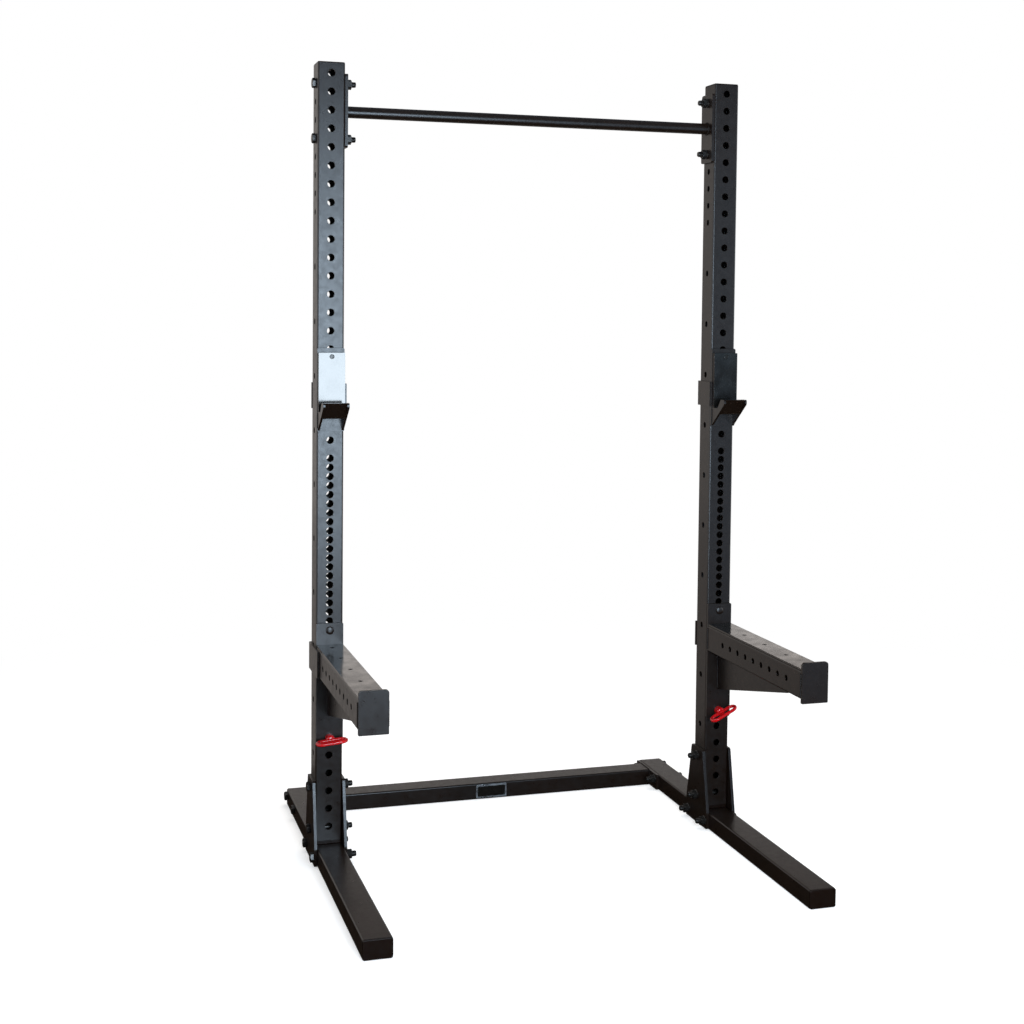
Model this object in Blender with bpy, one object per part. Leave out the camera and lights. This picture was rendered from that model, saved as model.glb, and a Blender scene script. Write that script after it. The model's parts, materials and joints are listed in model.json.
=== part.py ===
"""Half rack: two drilled uprights on floor runners, a pull-up bar, twist-on cups and spotter arms.

Metres, +Z up. The origin is on the floor in the middle of the footprint, and the front is at -Y.
Every place is counted from an upright's centre line, so a bracket is the same piece on both sides.
"""

import math

import bmesh
import bpy

# Clearances
GAP = 0.0003                # between pieces that touch
WELD_BITE = 0.0005          # how far welded pieces run into each other
PIN_CLEARANCE = 0.0005      # radial, studs and pins in the index holes
BOLT_CLEARANCE = 0.0005     # radial, bolts in their holes
HANDLE_CLEARANCE = 0.0003   # radial, the pin's tail in its handle
TWIST_CLEARANCE = 0.007     # from the upright to a bracket's wrap when it is turned by a quarter

# Tube and plate stock
TUBE = 0.075                # uprights and arms are square, runners and crossmember as wide as this
RUNNER_HEIGHT = 0.050
TUBE_WALL = 0.003
TUBE_CORNER = 0.005
PLATE = 0.008
WRAP_PLATE = 0.006

# Overall layout
RACK_HEIGHT = 2.205
UPRIGHT_SPACING = 1.170     # centre to centre
FRONT_REACH = 0.705         # from the uprights' centre to the runners' front ends
REAR_REACH = 0.486          # from the uprights' centre to the runners' rear ends

# Index holes through the front and rear walls, in three rows counted from the floor
INDEX_HOLE = 0.020
INDEX_PITCH = 0.050
FINE_PITCH = 0.025
LOWER_ROW_START = 0.100
LOWER_ROW_HOLES = 11
FINE_ROW_HOLES = 19
INDEX_TOP_MARGIN = 0.015    # least wall left above the last hole

# Side holes, for bolts and accessories, in two rows counted from the top
SIDE_PITCH = 0.050
SIDE_ROW_START = 0.055
SIDE_ROW_HOLES = 8
WIDE_SIDE_PITCH = 0.150
LOWEST_SIDE_HOLE = 0.300

# End caps
TOP_CAP_HEAD = 0.003
FOOT_CAP_HEAD = 0.010
RUNNER_CAP_HEAD = 0.006
CAP_PLUG = 0.014            # into an upright, short of its lowest bolt
RUNNER_PLUG = 0.007         # into a runner, short of its last bolt
CAP_INSET = 0.0005
CAP_BEVEL = 0.0015

# Bolts and nuts
BOLT = 0.016
BOLT_HEAD_HEIGHT = 0.010
ACROSS_FLATS = 0.024
NUT_HEIGHT = 0.015
BOLT_TAIL = 0.012           # thread standing past the nut
TIP_CHAMFER = 0.0015

# Base plates, one on each side of an upright and its runner
BASE_PLATE_TOP = 0.230
BASE_PLATE_WIDTH = 0.152
BASE_PLATE_TOP_WIDTH = 0.079
BASE_PLATE_CORNER = 0.008
BASE_EDGE = 0.025           # from the plate's top, and from the upright's foot, to the bolts
BASE_BOLT_SPREAD = 0.120    # between the two bolts through the runner
FLOOR_CLEARANCE = 0.002     # from the floor to the plates

# Rear crossmember with its end flanges
CROSS_CENTRE = 0.4125       # behind the uprights' centre
FLANGE_FRONT = 0.101        # from the crossmember's centre to the flange's front edge
FLANGE_REAR = 0.071
CROSS_BOLT_SPREAD = 0.133
CROSS_BOLT_HEIGHT = 0.033
FLANGE_CORNER = 0.004

# Pull-up bar
BAR_DIAMETER = 0.032
BAR_WALL = 0.003
BAR_PLATE_HEIGHT = 0.200
BAR_PLATE_WIDTH = 0.075
BAR_PLATE_CORNER = 0.007
BAR_BOLT_HOLES = (0, 3)     # which side holes, counted from the top

# Studs and wraps that hold the brackets on the uprights
STUD_LENGTH = 0.030
LIP_OVERHANG = 0.0015       # the rear lip ends this far past the upright's other side
WRAP_BEND = 0.007           # outside radius
BRACKET_WIDTH = 0.075
BRACKET_CORNER = 0.004

# J-cups
CUP_HOLE = 5                # which hole of the upper row
CUP_PLATE_RISE = 0.053      # above the stud
CUP_PLATE_DROP = 0.175      # below the stud
CUP_WRAP_HEIGHT = 0.072
CUP_WIDTH = 0.072
CUP_GUSSET = 0.006
CUP_SEAT_DROP = 0.120       # from the stud to the seat's surface
CUP_SEAT_DEPTH = 0.024
CUP_LIP_RISE = 0.0265
CUP_LIP_SLOPE = math.radians(50)
CUP_HOOK = 0.006            # the bent plate under the seat and lip
CUP_BEND = 0.008            # its inside radius
CUP_NOSE_HEIGHT = 0.013
CUP_NOSE_RADIUS = 0.008
CUP_TOP_RADIUS = 0.005
LINER = 0.015               # the pad
SEAT_LINER = 0.0115
LINER_SIDE_MARGIN = 0.001
LINER_TOP = 0.0405          # above the stud

# Spotter arms
ARM_PIN_HOLE = 5            # which hole of the lower row takes the locking pin
ARM_PLATE_EDGE = 0.020      # plate past the stud and past the pin
ARM_LENGTH = 0.595          # from the bracket plate's face to the end plate's face
ARM_WRAP_TOP_MARGIN = 0.002
ARM_WRAP_FORWARD = 0.051    # the wrap runs this far along the tube
ARM_HOLE = 0.016
ARM_HOLE_START = 0.104      # from the bracket plate's face to the first hole
ARM_HOLE_PITCH = 0.050
ARM_HOLES = 9
END_PLATE_RISE = 0.022
END_PLATE_DROP = 0.011
END_PLATE_TOP_CORNER = 0.008
END_PLATE_LOW_CORNER = 0.002
ARM_GUSSET_ROOT = 0.118
ARM_GUSSET_LENGTH = 0.445
ARM_GUSSET_NOSE = 0.020
STUD_HEAD = 0.023
STUD_HEAD_HEIGHT = 0.005
STRIP = 0.005
STRIP_SIDE_MARGIN = 0.001
STRIP_END_MARGIN = 0.001
SCREW_RECESS = 0.014
SCREW_RECESS_DEPTH = 0.003
STRIP_SCREW_START = 0.039   # from the bracket plate's face
STRIP_SCREW_PITCH = 0.130
STRIP_SCREWS = 4

# Locking pins, each with a loop handle that turns on the pin's tail
PIN_REACH = 0.048           # from the bracket plate's face into the upright
PIN_TAIL = 0.017            # from the bracket plate's face into the handle
BOSS = 0.025
BOSS_LENGTH = 0.024
BOSS_DOME = 0.006
LOOP_WIRE = 0.008
LOOP_LENGTH = 0.090
LOOP_WIDTH = 0.044
LOOP_CENTRE = 0.039         # in front of the bracket plate's face
LOOP_TURNS = {-1: math.radians(-5), 1: math.radians(-27)}

# Facets
HOLE_SIDES = 6
RECESS_SIDES = 8
ROUND_SIDES = 12
BAR_SIDES = 16
LOOP_SIDES = 8
LOOP_END_STEPS = 6
CORNER_STEPS = 2
CAP_CORNER_STEPS = 1
SMOOTH_ANGLE = math.radians(40)

# Places worked out from the sizes above
HALF = TUBE / 2
UPRIGHT_X = UPRIGHT_SPACING / 2
UPRIGHT_Y = (FRONT_REACH - REAR_REACH) / 2
UPRIGHT_FOOT = RUNNER_HEIGHT + FOOT_CAP_HEAD + 2 * GAP
UPRIGHT_TOP = RACK_HEIGHT - TOP_CAP_HEAD - GAP
BRACKET_BACK = -HALF - GAP              # a bracket's back face, from the upright's centre
BRACKET_FACE = BRACKET_BACK - PLATE
TWIST_DROP = HALF + TWIST_CLEARANCE     # from a stud down to what wraps the upright
STUD = INDEX_HOLE - 2 * PIN_CLEARANCE
BOLT_HOLE = BOLT + 2 * BOLT_CLEARANCE
INNER_PLATE = -HALF - GAP - PLATE       # inner face of a plate on an upright's or runner's side
BASE_BOLTS = (
    (0, BASE_PLATE_TOP - BASE_EDGE),
    (0, UPRIGHT_FOOT + BASE_EDGE),
    (-BASE_BOLT_SPREAD / 2, RUNNER_HEIGHT / 2),
    (BASE_BOLT_SPREAD / 2, RUNNER_HEIGHT / 2),
)
FLANGE_CENTRE = CROSS_CENTRE + (FLANGE_REAR - FLANGE_FRONT) / 2
CROSS_BOLTS = (
    (FLANGE_CENTRE - CROSS_BOLT_SPREAD / 2, CROSS_BOLT_HEIGHT),
    (FLANGE_CENTRE + CROSS_BOLT_SPREAD / 2, CROSS_BOLT_HEIGHT),
)
SIDES = {"left": -1, "right": 1}


def lower_row():
    return [LOWER_ROW_START + i * INDEX_PITCH for i in range(LOWER_ROW_HOLES)]


def fine_row():
    start = lower_row()[-1] + INDEX_PITCH
    return [start + i * FINE_PITCH for i in range(FINE_ROW_HOLES)]


def upper_row():
    start = fine_row()[-1] + FINE_PITCH
    room = UPRIGHT_TOP - INDEX_TOP_MARGIN - INDEX_HOLE / 2 - start
    return [start + i * INDEX_PITCH for i in range(int(room / INDEX_PITCH) + 1)]


def side_row():
    top = RACK_HEIGHT - SIDE_ROW_START
    close = [top - i * SIDE_PITCH for i in range(SIDE_ROW_HOLES)]
    start = close[-1] - WIDE_SIDE_PITCH
    wide = int((start - LOWEST_SIDE_HOLE) / WIDE_SIDE_PITCH + 0.01) + 1
    return close + [start - i * WIDE_SIDE_PITCH for i in range(wide)]


# Outlines in a plane

def polygon(diameter, sides, around=False):
    """Points on a circle, or with around=True a polygon whose flats touch the circle, for holes."""
    radius = diameter / 2 / (math.cos(math.pi / sides) if around else 1)
    turns = [(i + 0.5) * 2 * math.pi / sides for i in range(sides)]
    return [(radius * math.cos(a), radius * math.sin(a)) for a in turns]


def hexagon(across_flats):
    """A hexagon's corners and the middles of two sides, so that it meets an octagon point to point."""
    flat = across_flats / 2
    corner = flat / math.cos(math.pi / 6)
    half = [(flat, 0)] + [(corner * math.cos(a), corner * math.sin(a)) for a in (math.pi / 6, math.pi / 2)]
    half.append((-half[1][0], half[1][1]))
    return half + [(-u, -v) for u, v in half]


def octagon(diameter, around=False):
    radius = diameter / 2 / (math.cos(math.pi / 8) if around else 1)
    return [(radius * math.cos(i * math.pi / 4), radius * math.sin(i * math.pi / 4)) for i in range(8)]


def rounded(corners, steps=CORNER_STEPS):
    """Corners given as (u, v, radius), each turned into an arc of a few chords."""
    points = []
    for i, (u, v, radius) in enumerate(corners):
        if radius <= 0:
            points.append((u, v))
            continue
        before = (corners[i - 1][0] - u, corners[i - 1][1] - v)
        following = corners[(i + 1) % len(corners)]
        after = (following[0] - u, following[1] - v)
        a = math.atan2(before[1], before[0])
        b = math.atan2(after[1], after[0])
        opening = (b - a + math.pi) % (2 * math.pi) - math.pi
        middle = a + opening / 2
        reach = radius / math.sin(abs(opening) / 2)
        centre = (u + reach * math.cos(middle), v + reach * math.sin(middle))
        swing = math.pi - abs(opening)
        sense = 1 if opening > 0 else -1
        first = middle + math.pi + sense * swing / 2
        for step in range(steps + 1):
            angle = first - sense * swing * step / steps
            points.append((centre[0] + radius * math.cos(angle), centre[1] + radius * math.sin(angle)))
    return points


def rectangle(width, height, radius, centre=(0, 0), steps=CORNER_STEPS):
    u, v = centre
    right, top = width / 2, height / 2
    corners = ((-right, -top), (right, -top), (right, top), (-right, top))
    return rounded([(u + a, v + b, radius) for a, b in corners], steps)


# Solids from outlines

def place(point, axis, level):
    u, v = point
    return {"X": (level, u, v), "Y": (u, level, v), "Z": (u, v, level)}[axis]


def loft(bm, rings, closed=False):
    """Joins rings of equally many points, capping the ends, or meeting the first ring if closed."""
    rows = [[bm.verts.new(point) for point in ring] for ring in rings]
    for low, high in zip(rows, rows[1:] + (rows[:1] if closed else [])):
        for i in range(len(low)):
            bm.faces.new((low[i - 1], low[i], high[i], high[i - 1]))
    if not closed:
        bm.faces.new(rows[0])
        bm.faces.new(rows[-1])


def prism(bm, outline, axis, low, high):
    loft(bm, [[place(p, axis, level) for p in outline] for level in (low, high)])


def tube(bm, outer, inner, axis, low, high):
    around = ((outer, low), (outer, high), (inner, high), (inner, low))
    loft(bm, [[place(p, axis, level) for p in outline] for outline, level in around], closed=True)


def turned(bm, profile, axis):
    """A round solid from (diameter, level) steps along the axis."""
    loft(bm, [[place(p, axis, level) for p in polygon(size, ROUND_SIDES)] for size, level in profile])


def drill(bm, axis, centre, diameter, depth, sides):
    """A closed cutter for one hole, centred on a wall."""
    index = "XYZ".index(axis)
    u, v = [c for i, c in enumerate(centre) if i != index]
    outline = [(u + a, v + b) for a, b in polygon(diameter, sides, around=True)]
    prism(bm, outline, axis, centre[index] - depth / 2, centre[index] + depth / 2)


def finish(name, bm, material, location=(0, 0, 0)):
    bmesh.ops.recalc_face_normals(bm, faces=bm.faces)
    mesh = bpy.data.meshes.new(name)
    bm.to_mesh(mesh)
    bm.free()
    mesh.shade_smooth()
    mesh.set_sharp_from_angle(angle=SMOOTH_ANGLE)
    mesh.materials.append(material)
    return show(name, mesh, location)


def show(name, mesh, location, turn=0):
    piece = bpy.data.objects.new(name, mesh)
    piece.location = location
    piece.rotation_euler.z = turn
    bpy.context.scene.collection.objects.link(piece)
    return piece


def combine(target, tool, operation):
    modifier = target.modifiers.new(tool.name, "BOOLEAN")
    modifier.object = tool
    modifier.operation = operation
    modifier.solver = "EXACT"
    tool.hide_render = True
    tool.display_type = "WIRE"


def make(name, material, location, shape):
    """One object from a function that draws into its mesh."""
    bm = bmesh.new()
    shape(bm)
    return finish(name, bm, material, location)


def weld(target, shape, label):
    combine(target, make(f"{target.name}_{label}", None, target.location, shape), "UNION")


def cut(target, shape, label):
    combine(target, make(f"{target.name}_{label}", None, target.location, shape), "DIFFERENCE")


# Finishes

def material(name, colour, roughness, metallic=0.0):
    new = bpy.data.materials.new(name)
    new.use_nodes = True
    shader = new.node_tree.nodes["Principled BSDF"]
    shader.inputs["Base Color"].default_value = (*colour, 1)
    shader.inputs["Roughness"].default_value = roughness
    shader.inputs["Metallic"].default_value = metallic
    new.diffuse_color = (*colour, 1)
    return new


# Main frame

def upright_holes(bm):
    wall = HALF - TUBE_WALL / 2
    depth = 2 * TUBE_WALL
    for side in (-1, 1):
        for z in lower_row() + fine_row() + upper_row():
            drill(bm, "Y", (0, side * wall, z), INDEX_HOLE, depth, HOLE_SIDES)
        for z in side_row() + [BASE_BOLTS[0][1], BASE_BOLTS[1][1]]:
            drill(bm, "X", (side * wall, 0, z), BOLT_HOLE, depth, HOLE_SIDES)


def upright(label, side, finish_coat):
    def body(bm):
        outer = rectangle(TUBE, TUBE, TUBE_CORNER)
        inside = TUBE - 2 * TUBE_WALL
        inner = rectangle(inside, inside, TUBE_CORNER - TUBE_WALL)
        tube(bm, outer, inner, "Z", UPRIGHT_FOOT, UPRIGHT_TOP)

    piece = make(f"upright_{label}", finish_coat, (side * UPRIGHT_X, UPRIGHT_Y, 0), body)
    cut(piece, upright_holes, "holes")


def end_cap(name, plastic, location, axis, size, end, outward, head, depth):
    """A plug inside a tube's end with a bevelled head over it; size is the tube's outside."""
    width, height = size
    inset = TUBE_WALL + GAP
    shrink = CAP_INSET + CAP_BEVEL
    plug, cover, face = (
        rectangle(width - 2 * less, height - 2 * less, radius, steps=CAP_CORNER_STEPS)
        for less, radius in ((inset, TUBE_CORNER - TUBE_WALL), (CAP_INSET, TUBE_CORNER), (shrink, TUBE_CORNER))
    )
    back = GAP
    steps = ((plug, -depth), (plug, back), (cover, back), (cover, back + head - CAP_BEVEL), (face, back + head))

    def shape(bm):
        loft(bm, [[place(p, axis, end + outward * level) for p in outline] for outline, level in steps])

    return make(name, plastic, location, shape)


def runner(label, side, coat):
    front = -FRONT_REACH + RUNNER_CAP_HEAD + GAP
    rear = REAR_REACH - RUNNER_CAP_HEAD - GAP

    def body(bm):
        centre = (0, RUNNER_HEIGHT / 2)
        outer = rectangle(TUBE, RUNNER_HEIGHT, TUBE_CORNER, centre)
        inner = rectangle(TUBE - 2 * TUBE_WALL, RUNNER_HEIGHT - 2 * TUBE_WALL, TUBE_CORNER - TUBE_WALL, centre)
        tube(bm, outer, inner, "Y", front, rear)

    def holes(bm):
        for wall in (-1, 1):
            for y, z in BASE_BOLTS[2:] + CROSS_BOLTS:
                centre = (wall * (HALF - TUBE_WALL / 2), y, z)
                drill(bm, "X", centre, BOLT_HOLE, 2 * TUBE_WALL, HOLE_SIDES)

    piece = make(f"runner_{label}", coat, (side * UPRIGHT_X, UPRIGHT_Y, 0), body)
    cut(piece, holes, "holes")


def caps(label, side, plastic):
    over_upright = (side * UPRIGHT_X, UPRIGHT_Y, 0)
    square = (TUBE, TUBE)
    end_cap(f"top_cap_{label}", plastic, over_upright, "Z", square, UPRIGHT_TOP, 1, TOP_CAP_HEAD, CAP_PLUG)
    end_cap(f"foot_cap_{label}", plastic, over_upright, "Z", square, UPRIGHT_FOOT, -1, FOOT_CAP_HEAD,
            CAP_PLUG)
    mid_runner = (side * UPRIGHT_X, UPRIGHT_Y, RUNNER_HEIGHT / 2)
    flat = (TUBE, RUNNER_HEIGHT)
    front = -FRONT_REACH + RUNNER_CAP_HEAD + GAP
    rear = REAR_REACH - RUNNER_CAP_HEAD - GAP
    for place_name, end, outward in (("front", front, -1), ("rear", rear, 1)):
        end_cap(f"runner_cap_{place_name}_{label}", plastic, mid_runner, "Y", flat, end, outward,
                RUNNER_CAP_HEAD, RUNNER_PLUG)


def base_plate(label, side, place_name, outward, coat):
    """A trapezium that ties the upright to the runner; outward is +1 for the rack's outer side."""
    near = HALF + GAP
    low, high = sorted((outward * side * near, outward * side * (near + PLATE)))
    foot, top = BASE_PLATE_WIDTH / 2, BASE_PLATE_TOP_WIDTH / 2
    small = BASE_PLATE_CORNER / 2
    outline = rounded([
        (-foot, FLOOR_CLEARANCE, small),
        (foot, FLOOR_CLEARANCE, small),
        (foot, RUNNER_HEIGHT, small),
        (top, BASE_PLATE_TOP, BASE_PLATE_CORNER),
        (-top, BASE_PLATE_TOP, BASE_PLATE_CORNER),
        (-foot, RUNNER_HEIGHT, small),
    ])

    def holes(bm):
        for y, z in BASE_BOLTS:
            drill(bm, "X", ((low + high) / 2, y, z), BOLT_HOLE, 2 * PLATE, HOLE_SIDES)

    piece = make(f"base_plate_{place_name}_{label}", coat, (side * UPRIGHT_X, UPRIGHT_Y, 0),
                 lambda bm: prism(bm, outline, "X", low, high))
    cut(piece, holes, "holes")


def crossmember(coat):
    """The rear tube with a flange at each end, open through the flanges."""
    end = UPRIGHT_X + INNER_PLATE
    middle = (CROSS_CENTRE, RUNNER_HEIGHT / 2)
    inside = rectangle(TUBE - 2 * TUBE_WALL, RUNNER_HEIGHT - 2 * TUBE_WALL, TUBE_CORNER - TUBE_WALL, middle)
    rear, front = CROSS_CENTRE + FLANGE_REAR, CROSS_CENTRE - FLANGE_FRONT
    flange = rectangle(rear - front, RUNNER_HEIGHT - FLOOR_CLEARANCE, FLANGE_CORNER,
                       ((rear + front) / 2, (RUNNER_HEIGHT + FLOOR_CLEARANCE) / 2))

    def body(bm):
        prism(bm, rectangle(TUBE, RUNNER_HEIGHT, TUBE_CORNER, middle), "X", -end - WELD_BITE, end + WELD_BITE)

    def flanges(bm):
        for side in (-1, 1):
            prism(bm, flange, "X", side * end, side * (end + PLATE))

    def hollow(bm):
        prism(bm, inside, "X", -end - 2 * PLATE, end + 2 * PLATE)

    def holes(bm):
        for side in (-1, 1):
            for y, z in CROSS_BOLTS:
                centre = (side * (end + PLATE / 2), y, z)
                drill(bm, "X", centre, BOLT_HOLE, 2 * PLATE, HOLE_SIDES)

    piece = make("rear_crossmember", coat, (0, UPRIGHT_Y, 0), body)
    weld(piece, flanges, "flanges")
    cut(piece, hollow, "hollow")
    cut(piece, holes, "holes")


def pull_up_bar(coat):
    """The round bar with its end plates, open through the plates."""
    end = UPRIGHT_X + INNER_PLATE
    bolt_heights = [side_row()[i] for i in BAR_BOLT_HOLES]
    height = sum(bolt_heights) / 2
    plate = rectangle(BAR_PLATE_WIDTH, BAR_PLATE_HEIGHT, BAR_PLATE_CORNER)

    def round_bar(bm, diameter, reach):
        outline = polygon(diameter, BAR_SIDES)
        prism(bm, outline, "X", -reach, reach)

    def plates(bm):
        for side in (-1, 1):
            prism(bm, plate, "X", side * end, side * (end + PLATE))

    def holes(bm):
        for side in (-1, 1):
            for z in bolt_heights:
                centre = (side * (end + PLATE / 2), 0, z - height)
                drill(bm, "X", centre, BOLT_HOLE, 2 * PLATE, HOLE_SIDES)

    piece = make("pull_up_bar", coat, (0, UPRIGHT_Y, height),
                 lambda bm: round_bar(bm, BAR_DIAMETER, end + PLATE / 2))
    weld(piece, plates, "plates")
    cut(piece, lambda bm: round_bar(bm, BAR_DIAMETER - 2 * BAR_WALL, end + 2 * PLATE), "bore")
    cut(piece, holes, "holes")


# Fasteners

def bolt_steps(grip):
    """Rings of a hex bolt along X, its head outside x = 0 and its tip at the far end of the grip."""
    tip = -(grip + NUT_HEIGHT + GAP + BOLT_TAIL)
    head, shank, end = hexagon(ACROSS_FLATS), octagon(BOLT), octagon(BOLT - 2 * TIP_CHAMFER)
    return [(head, BOLT_HEAD_HEIGHT), (head, 0), (shank, 0), (shank, tip + TIP_CHAMFER), (end, tip)]


def bolt_mesh(name, grip, steel):
    bm = bmesh.new()
    loft(bm, [[place(p, "X", level) for p in outline] for outline, level in bolt_steps(grip)])
    return keep(name, bm, steel)


def nut_mesh(name, steel):
    bm = bmesh.new()
    tube(bm, hexagon(ACROSS_FLATS), octagon(BOLT_HOLE, around=True), "X", -NUT_HEIGHT, 0)
    return keep(name, bm, steel)


def bolt_with_nut_mesh(name, grip, steel):
    """A bolt whose nut is one with it, for the two places behind the crossmember."""
    bm = bmesh.new()
    nut = hexagon(ACROSS_FLATS)
    steps = bolt_steps(grip)
    shank = steps[2][0]
    face = -(grip + GAP)
    steps[3:3] = [(shank, face), (nut, face), (nut, face - NUT_HEIGHT), (shank, face - NUT_HEIGHT)]
    loft(bm, [[place(p, "X", level) for p in outline] for outline, level in steps])
    return keep(name, bm, steel)


def keep(name, bm, steel):
    bmesh.ops.recalc_face_normals(bm, faces=bm.faces)
    mesh = bpy.data.meshes.new(name)
    bm.to_mesh(mesh)
    bm.free()
    mesh.shade_smooth()
    mesh.set_sharp_from_angle(angle=SMOOTH_ANGLE)
    mesh.materials.append(steel)
    return mesh


def fasteners(steel):
    """Heads on the rack's outer sides, nuts on its inner sides."""
    through_tube = TUBE + 2 * GAP + PLATE
    through_plates = through_tube + GAP + PLATE
    short = bolt_mesh("short_bolt", through_tube, steel)
    long = bolt_mesh("long_bolt", through_plates, steel)
    joined = bolt_with_nut_mesh("bolt_with_nut", through_tube, steel)
    nut = nut_mesh("hex_nut", steel)
    patterns = (
        ("bar", short, 0, [(0, side_row()[i]) for i in BAR_BOLT_HOLES]),
        ("base", long, GAP + PLATE, BASE_BOLTS),
        ("cross", short, 0, CROSS_BOLTS[:1]),
    )
    for label, side in SIDES.items():
        turn = 0 if side > 0 else math.pi
        head_x = side * (UPRIGHT_X + HALF + GAP)
        nut_x = side * (UPRIGHT_X + INNER_PLATE - GAP)
        for kind, bolt, stand_off, spots in patterns:
            for number, (y, z) in enumerate(spots, 1):
                bolt_place = (head_x + side * stand_off, UPRIGHT_Y + y, z)
                show(f"{kind}_bolt_{number}_{label}", bolt, bolt_place, turn)
                show(f"{kind}_nut_{number}_{label}", nut, (nut_x, UPRIGHT_Y + y, z), turn)
        y, z = CROSS_BOLTS[1]
        show(f"cross_bolt_2_{label}", joined, (head_x, UPRIGHT_Y + y, z), turn)


# Brackets

def stud(bm):
    steps = ((STUD, BRACKET_BACK - WELD_BITE), (STUD, BRACKET_BACK + STUD_LENGTH - TIP_CHAMFER),
             (STUD - 2 * TIP_CHAMFER, BRACKET_BACK + STUD_LENGTH))
    turned(bm, steps, "Y")


def wrap(bm, toward, front, low, high):
    """The bent plate round an upright: along the side that toward names, and across the back.

    Behind the bracket's plate it clears the upright, and in front it bites into what it is welded to.
    """
    inside = HALF + GAP
    outside = inside + WRAP_PLATE
    far = -(HALF + LIP_OVERHANG)
    outline = rounded([
        (toward * outside, front, 0),
        (toward * outside, outside, WRAP_BEND),
        (toward * far, outside, 0),
        (toward * far, inside, 0),
        (toward * inside, inside, 0),
        (toward * inside, BRACKET_BACK, 0),
        (toward * (HALF - WELD_BITE), BRACKET_BACK, 0),
        (toward * (HALF - WELD_BITE), front, 0),
    ])
    prism(bm, outline, "Z", low, high)


def hook_line(depth):
    """The cup's seat and lip at a depth under the surface that a bar lies on, as (y, z) points."""
    wall = BRACKET_FACE - GAP - LINER
    seat = -CUP_SEAT_DROP - depth
    corner = wall - CUP_SEAT_DEPTH - depth * math.tan(CUP_LIP_SLOPE / 2)
    top = -CUP_SEAT_DROP + CUP_LIP_RISE
    return (corner, seat), (corner - (top - seat) / math.tan(CUP_LIP_SLOPE), top)


def cup_bracket(label, side, coat):
    """Face plate, stud, wrap round the upright's inner side, and the hook between two gussets."""
    toward = -side
    steel_top, steel_low = SEAT_LINER + GAP, SEAT_LINER + GAP + CUP_HOOK
    root = BRACKET_FACE + WELD_BITE
    height = CUP_PLATE_RISE + CUP_PLATE_DROP
    plate = rectangle(BRACKET_WIDTH, height, BRACKET_CORNER, (0, (CUP_PLATE_RISE - CUP_PLATE_DROP) / 2))
    (corner, seat), (tip, top) = hook_line(0)
    (upper_corner, upper_seat), (upper_tip, _) = hook_line(steel_top)
    (lower_corner, lower_seat), (lower_tip, _) = hook_line(steel_low)
    hook = rounded([(root, upper_seat, 0), (upper_corner, upper_seat, CUP_BEND), (upper_tip, top, 0),
                    (lower_tip, top, 0), (lower_corner, lower_seat, CUP_BEND + CUP_HOOK), (root, lower_seat, 0)])
    nose = lower_tip - WELD_BITE
    foot = -CUP_PLATE_DROP + BRACKET_CORNER / 2
    gusset = rounded([(root, foot, 0), (nose, top - CUP_NOSE_HEIGHT, CUP_NOSE_RADIUS),
                      (nose, top, CUP_TOP_RADIUS), (tip, top, 0), (corner, -CUP_SEAT_DROP, 0),
                      (root, -CUP_SEAT_DROP, 0)])
    edge = CUP_WIDTH / 2

    def gussets(bm):
        for x in (-1, 1):
            prism(bm, gusset, "X", x * (edge - CUP_GUSSET), x * edge)

    location = (side * UPRIGHT_X, UPRIGHT_Y, upper_row()[CUP_HOLE])
    piece = make(f"cup_bracket_{label}", coat, location,
                 lambda bm: prism(bm, plate, "Y", BRACKET_FACE, BRACKET_BACK))
    weld(piece, stud, "stud")
    weld(piece, lambda bm: wrap(bm, toward, BRACKET_FACE, -TWIST_DROP - CUP_WRAP_HEIGHT, -TWIST_DROP), "wrap")
    weld(piece, gussets, "gussets")
    weld(piece, lambda bm: prism(bm, hook, "X", -edge + WELD_BITE, edge - WELD_BITE), "hook")


def cup_liner(label, side, plastic):
    """One plastic piece: a wide pad on the face plate, and a seat and lip between the gussets."""
    back = BRACKET_FACE - GAP
    face = back - LINER
    (corner, seat), (tip, top) = hook_line(0)
    (low_corner, low_seat), (low_tip, _) = hook_line(SEAT_LINER)
    overlap = -CUP_SEAT_DROP + LINER
    trough = rounded([(back, overlap, 0), (back, low_seat, 0), (low_corner, low_seat, CUP_BEND - GAP),
                      (low_tip, top, 0), (tip, top, 0), (corner, seat, 0), (face, seat, 0), (face, overlap, 0)])
    half_pad = BRACKET_WIDTH / 2 - LINER_SIDE_MARGIN
    half_trough = CUP_WIDTH / 2 - CUP_GUSSET - GAP
    pad_low = -CUP_SEAT_DROP + GAP
    pad = rectangle(2 * half_pad, LINER_TOP - pad_low, 0, (0, (LINER_TOP + pad_low) / 2))
    location = (side * UPRIGHT_X, UPRIGHT_Y, upper_row()[CUP_HOLE])
    piece = make(f"cup_liner_{label}", plastic, location, lambda bm: prism(bm, pad, "Y", face, back))
    weld(piece, lambda bm: prism(bm, trough, "X", -half_trough, half_trough), "trough")


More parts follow.
